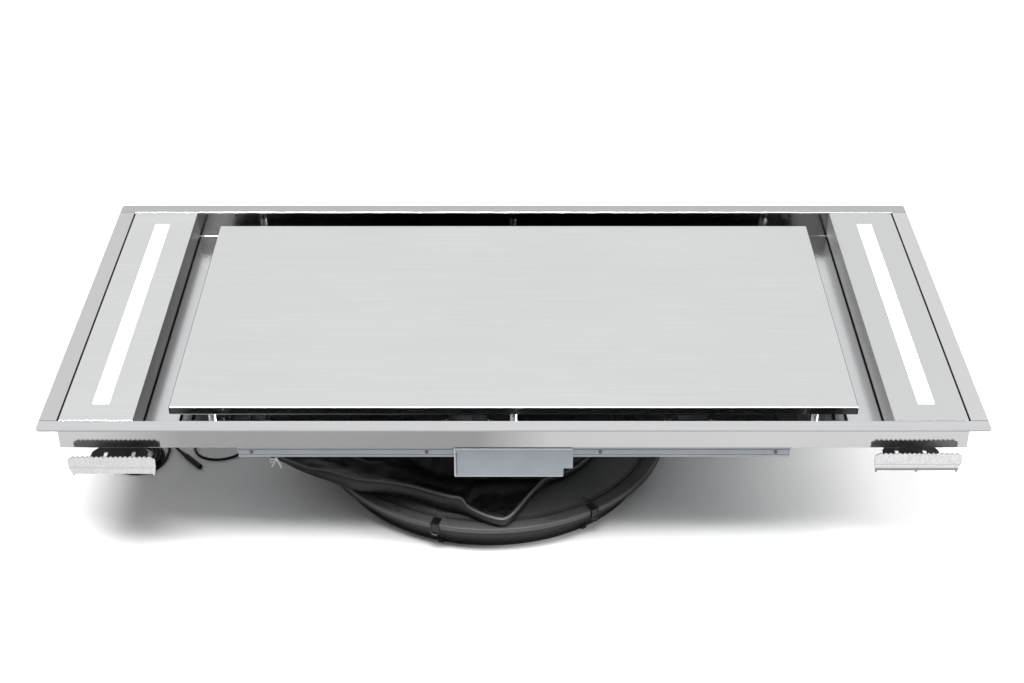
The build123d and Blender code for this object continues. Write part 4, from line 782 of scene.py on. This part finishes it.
def spread_along(points, columns):
    """Even steps along a closed smooth curve through the points, and its length."""
    fine = []
    total = len(points)
    for index in range(total):
        around = [points[(index + offset) % total] for offset in (-1, 0, 1, 2)]
        for step in range(24):
            fine.append(catmull(*around, step / 24))
    lengths = [0.0]
    for first, second in zip(fine, fine[1:] + fine[:1]):
        lengths.append(lengths[-1] + math.dist(first[:2], second[:2]))
    made = []
    cursor = 0
    for column in range(columns):
        wanted = lengths[-1] * column / columns
        while lengths[cursor + 1] < wanted:
            cursor += 1
        share = (wanted - lengths[cursor]) / (lengths[cursor + 1] - lengths[cursor])
        first, second = fine[cursor], fine[(cursor + 1) % len(fine)]
        made.append([a + (b - a) * share for a, b in zip(first, second)])
    return made, lengths[-1]


def bulge(distance):
    """Height of the gathered mound at this distance from the neck."""
    for (near, high), (far, low) in zip(MOUND, MOUND[1:]):
        if distance <= far:
            share = (distance - near) / (far - near)
            return high + (low - high) * share
    return CLOTH_REST


def mouth_depth(x, y):
    """How far inside the open mouth a point lies, in millimetres, negative outside."""
    inside = []
    for start, end in zip(MOUTH, MOUTH[1:] + MOUTH[:1]):
        side_x, side_y = end[0] - start[0], end[1] - start[1]
        turned = side_x * (y - start[1]) - side_y * (x - start[0])
        inside.append(turned / math.dist(start, end))
    return min(inside)


def cloth_height(distance, reach, crest, roll, along, x, y):
    """Height of the cloth's upper side at a distance from the neck, where the lip is at reach."""
    mound = bulge(distance)
    if reach < 60:
        lip_rise = (crest - 50) * math.exp(-((reach - distance) / roll) ** 2)
        return max(mound, CLOTH_REST + 0.5 + lip_rise)
    spare = reach - 46
    valley = 57 + 5 * smooth_step(spare / 90)
    rise = (crest - valley) * smooth_step(1 - (reach - distance) / min(roll + 16, 0.7 * spare))
    wander = noise.noise((x / 26, y / 26, 3.1))
    folds = math.sin((reach - distance) / 6.2 + 3.0 * noise.noise((along / 55, distance / 40, 0.4)))
    inner = smooth_step((distance - 40) / 20) * smooth_step((reach - distance) / 12)
    height = max(mound, valley + rise) + inner * (1.7 * folds + 3.2 * wander)
    depth = mouth_depth(x, y)
    hollow = smooth_step((depth + 1.0) / 7.0)
    floor = 52.0 + 1.6 * noise.noise((x / 12, y / 12, 8.0)) + 14 * smooth_step((64 - distance) / 18)
    return height * (1 - hollow) + min(height, floor) * hollow


def canvas_sleeve():
    """One cloth from the neck out to its lip, turned over and tucked under."""
    lip, around = spread_along(lip_points, LIP_COLUMNS)
    columns = []
    cut = []
    for index, (lip_x, lip_y, crest, foot, roll) in enumerate(lip):
        along = around * index / LIP_COLUMNS
        out_x, out_y = lip_x - HOUSING_X, lip_y - HOUSING_Y
        reach_all = math.hypot(out_x, out_y)
        out_x, out_y = out_x / reach_all, out_y / reach_all
        angle = math.atan2(out_y, out_x)
        reach = reach_all - NECK_SLEEVE
        column = []
        pleat = math.sin(34 * angle + 2.5 * noise.noise((6 * out_x, 6 * out_y, 1.7)))
        sway = noise.noise((along / 70, 5.2, 0.3))
        for row in range(UP_ROWS + 1):
            share = row / UP_ROWS
            # rows crowd near the neck and near the lip
            share = 0.55 * share + 0.45 * smooth_step(share)
            distance = reach * share
            swing = math.sin(min(1.0, distance / 30) * math.pi / 2) * math.exp(-distance / 60)
            radius = NECK_SLEEVE + distance + NECK_GAP + (1 - share) * 2.4 * pleat * swing
            drift = 6.0 * sway * math.sin(math.pi * share)
            x = HOUSING_X + radius * out_x - drift * out_y
            y = HOUSING_Y + radius * out_y + drift * out_x
            height = cloth_height(distance, reach, crest, roll, along, x, y)
            height += 1.6 * pleat * math.exp(-((distance - 26) / 22) ** 2)
            height = min(SLEEVE_TOP - 0.6, max(CLOTH_REST, height)) if row else SLEEVE_TOP - 0.8
            column.append((x, y, height))
        # the lip turns over, bellies a little and tucks under itself
        top = column[-1][2]
        drop = max(1.0, top - foot)
        wave = noise.noise((along / 24, 1.0, 7.7))
        turned = []
        for share, outward in LIP_TURN:
            ripple = 1.8 * wave * math.sin(math.pi * share) * min(1.0, drop / 20)
            turned.append((outward * min(1.0, drop / 14) + ripple, top - share * drop))
        for inward, lift in LIP_TUCK:
            turned.append((-min(inward, 0.35 * reach), max(LID_TOP + 1.2, foot + lift)))
        for lean, height in turned:
            radius = NECK_SLEEVE + reach + NECK_GAP + lean
            column.append((HOUSING_X + radius * out_x, HOUSING_Y + radius * out_y, height))
        travelled = [0.0]
        for first, second in zip(column, column[1:]):
            travelled.append(travelled[-1] + math.dist(first, second))
        columns.append(column)
        cut.append([(along * MM, (length - travelled[UP_ROWS]) * MM) for length in travelled])
    rows = [list(row) for row in zip(*columns)]
    uv = [pair for row in zip(*cut) for pair in row]
    piece = skin("canvas_cloth", rows, uv=uv)
    apply_modifier(piece, "SOLIDIFY", thickness=CLOTH_THICKNESS * MM, offset=-1.0)
    return piece


canvas = settle(canvas_sleeve(), "canvas", "hood")
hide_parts("canvas_sleeve")


def tape_strip(name, path, width, side=(1, 0, 0)):
    """A strip of tape along a path in millimetres, its width lying along side."""
    points = [path[0]]
    longer = [path[0], *path, path[-1]]
    for around in zip(longer, longer[1:], longer[2:], longer[3:]):
        points += [catmull(*around, step / 6) for step in range(1, 7)]
    half = [width / 2 * way for way in side]
    rows = []
    for point in points:
        rows.append([[a + sign * b for a, b in zip(point, half)] for sign in (-1, 1)])
    strip = skin(name, rows, closed=False)
    apply_modifier(strip, "SOLIDIFY", thickness=TAPE_THICKNESS * MM, offset=0.0)
    apply_modifier(strip, "SUBSURF", levels=1, render_levels=1)
    return settle(strip, "tie_tape", "hood")


# White tape tied round the gathered end: a band, a knot, a small loop and two ends
TAPE_THICKNESS = 0.7
TIE_X = -331.0
TIE_Y = -101.0
TIE_Z = 53.6
BAND_STEPS = 16
KNOT_ROWS = 12
KNOT_SIDES = 18
band_path = []
for step in range(BAND_STEPS + 1):
    angle = 2 * math.pi * step / BAND_STEPS
    band_path.append((TIE_X, TIE_Y + 6.6 * math.cos(angle), TIE_Z + 4.6 * math.sin(angle)))
tape_band = tape_strip("tape_band", band_path, 4.5)
knot_rows = []
for row in range(1, KNOT_ROWS):
    angle = math.pi * row / KNOT_ROWS
    size = math.sin(angle)
    ring = []
    for side in range(KNOT_SIDES):
        turn = 2 * math.pi * side / KNOT_SIDES
        x = TIE_X + 3.4 * size * math.cos(turn) + 0.4 * math.sin(3 * turn)
        ring.append((x, TIE_Y - 7.6 + 2.0 * size * math.sin(turn), TIE_Z - 1.0 + 2.8 * math.cos(angle)))
    knot_rows.append(ring)
tape_knot = skin("tape_knot", knot_rows[::-1], cap_start=True, cap_end=True)
apply_modifier(tape_knot, "SUBSURF", levels=1, render_levels=1)
settle(tape_knot, "tie_tape", "hood")
loop_path = [
    (-332, -109, 52.6),
    (-335.4, -111, 55),
    (-339.4, -112, 54.4),
    (-339.8, -112, 51),
    (-336, -111, 50),
    (-332, -109.4, 52),
]
tape_loop = tape_strip("tape_loop", loop_path, 2.8, (0.2, 0.9, 0.4))
near_path = [
    (-330.6, -108.6, 52.4),
    (-328.4, -111, 49.6),
    (-326.2, -112, 45),
    (-324.8, -112.4, 40),
]
tape_end_near = tape_strip("tape_end_near", near_path, 3.2, (0.9, 0.2, 0.4))
far_path = [
    (-332, -108.6, 52),
    (-333.8, -111, 48.4),
    (-336.4, -112, 44.6),
    (-337.8, -112.4, 41.6),
]
tape_end_far = tape_strip("tape_end_far", far_path, 3.2, (0.9, 0.3, -0.3))
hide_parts("sleeve_tie")


def box(name, middle, size):
    """Adds a box with its middle and size in millimetres, and names it."""
    bpy.ops.object.select_all(action="DESELECT")
    place = [value * MM for value in middle]
    scale = [value * MM for value in size]
    bpy.ops.mesh.primitive_cube_add(size=1, location=place, scale=scale)
    piece = bpy.context.object
    piece.name = piece.data.name = name
    bpy.ops.object.transform_apply(location=True, rotation=True, scale=True)
    return piece


def shape(piece, kind, test, *steps):
    """Selects the faces or edges that pass a test of middle and direction, then runs the steps."""
    make_active(piece)
    mesh = piece.data
    for group in (mesh.vertices, mesh.edges, mesh.polygons):
        group.foreach_set("select", [False] * len(group))
    if kind == "FACE":
        for face in mesh.polygons:
            face.select = test(face.center, face.normal)
    else:
        for edge in mesh.edges:
            start, end = (mesh.vertices[corner] for corner in edge.vertices)
            if test((start.co + end.co) / 2, (end.co - start.co).normalized()):
                edge.select = start.select = end.select = True
    bpy.ops.object.mode_set(mode="EDIT")
    bpy.ops.mesh.select_mode(type=kind)
    for step, settings in steps:
        step(**settings)
    bpy.ops.object.mode_set(mode="OBJECT")


# Spring clips on the rim of the housing: hook on the lid, leg down the rim, and a toe with a recess
CLIP_COUNT = 7
CLIP_ANGLE = -107.0
CLIP_WIDTH = 12.0
CLIP_LEG = 2.4
CLIP_HOOK = 14.2
CLIP_FOOT = 30.5
RIM_RADIUS = 250.0
clip_height = LID_TOP + 2 - CLIP_FOOT
clip = box(
    "spring_clip",
    (RIM_RADIUS + 1.5, 0, CLIP_FOOT + clip_height / 2),
    (CLIP_LEG, CLIP_WIDTH, clip_height),
)
shape(
    clip, "EDGE", lambda middle, way: abs(way.x) > 0.9 and middle.z < 0.035,
    (bpy.ops.mesh.bevel, {"offset": 5.2 * MM, "segments": 6, "affect": "EDGES"}),
)
shape(
    clip, "FACE", lambda middle, way: way.x > 0.9,
    (bpy.ops.mesh.inset, {"thickness": 1.6 * MM}),
    (bpy.ops.mesh.extrude_region_move, {"TRANSFORM_OT_translate": {"value": (-1.0 * MM, 0, 0)}}),
)
hook = box("clip_hook", (RIM_RADIUS - 6.2, 0, LID_TOP + 1.1), (CLIP_HOOK, CLIP_WIDTH - 1.2, 2.0))
shape(
    hook, "EDGE", lambda middle, way: abs(way.z) > 0.9 and middle.x < 0.24,
    (bpy.ops.mesh.bevel, {"offset": 2.2 * MM, "segments": 4, "affect": "EDGES"}),
)
make_active(clip)
hook.select_set(True)
bpy.ops.object.join()
apply_modifier(clip, "BEVEL", width=0.45 * MM, segments=2, limit_method="ANGLE")
on_axis = Matrix.Translation((HOUSING_X * MM, HOUSING_Y * MM, 0))
for number in range(CLIP_COUNT):
    copy = bpy.data.objects.new(f"spring_clip_{number + 1}", clip.data.copy())
    bpy.context.scene.collection.objects.link(copy)
    angle = math.radians(CLIP_ANGLE + number * 360 / CLIP_COUNT)
    copy.data.transform(on_axis @ Matrix.Rotation(angle, 4, "Z"))
    settle(copy, "clip_plastic", "hood")
bpy.data.objects.remove(clip)
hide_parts("housing_clips")


# Camera, floor and lights
SENSOR_WIDTH = 36
FLOOR_REACH = 30
SKY_BASE = 0.1
SKY_OVERHEAD = 0.42
SKY_BEHIND = 0.7


def placed(name, data, place):
    """A camera, light or mesh as an object at this place in metres."""
    rig = bpy.data.objects.new(name, data)
    rig.location = place
    bpy.context.scene.collection.objects.link(rig)
    return rig


camera = bpy.data.cameras.new("photo_camera")
camera.lens = CAMERA_LENS
camera.sensor_width = SENSOR_WIDTH
photo_camera = placed("photo_camera", camera, CAMERA_PLACE)
photo_camera.rotation_euler = (math.radians(CAMERA_PITCH), 0, 0)
bpy.context.scene.camera = photo_camera

paper = Finish("studio_paper", Roughness=0.9, Specular_IOR_Level=0.1)
paper.wear(Base_Color=paper.ramp(paper.speckle(4), (0.3, 0.55), (0.7, 0.575)))
floor_corners = [(FLOOR_REACH * x, FLOOR_REACH * y, 0) for x, y in ((-1, -1), (1, -1), (1, 1), (-1, 1))]
floor_mesh = bpy.data.meshes.new("studio_floor")
floor_mesh.from_pydata(floor_corners, [], [(0, 1, 2, 3)])
floor_mesh.materials.append(paper.material)
placed("studio_floor", floor_mesh, (0, 0, 0))


class Sky(Finish):
    """The soft light from all round: brighter overhead and towards the back."""

    def __init__(self, name):
        self.material = bpy.data.worlds.new(name)
        self.material.use_nodes = True
        self.tree = self.material.node_tree
        self.shader = self.tree.nodes["Background"]
        self.place = self.node("TexCoord", output="Generated")
        y, z = self.axes("YZ")
        strength = SKY_BASE + SKY_OVERHEAD * z + SKY_BEHIND * self.over(y, 0.0, 1.0)
        self.wear(Color=(1, 1, 1, 1), Strength=strength)


bpy.context.scene.world = Sky("studio_sky").material


def soft_box(name, place, target, size, power):
    """A rectangular area light at a place, facing its target."""
    lamp = bpy.data.lights.new(name, "AREA")
    lamp.shape = "RECTANGLE"
    lamp.size, lamp.size_y = size
    lamp.energy = power
    towards = Vector(target) - Vector(place)
    placed(name, lamp, place).rotation_euler = towards.to_track_quat("-Z", "Y").to_euler()


soft_box("key_light", (-0.8, -3.25, 8.4), (0, 0, 0.1), size=(4.8, 2.8), power=1900)
soft_box("side_light", (3.7, -1.3, 3.9), (0.4, -0.1, 0), size=(2.0, 4.2), power=480)
bpy.context.scene.view_settings.view_transform = "Standard"
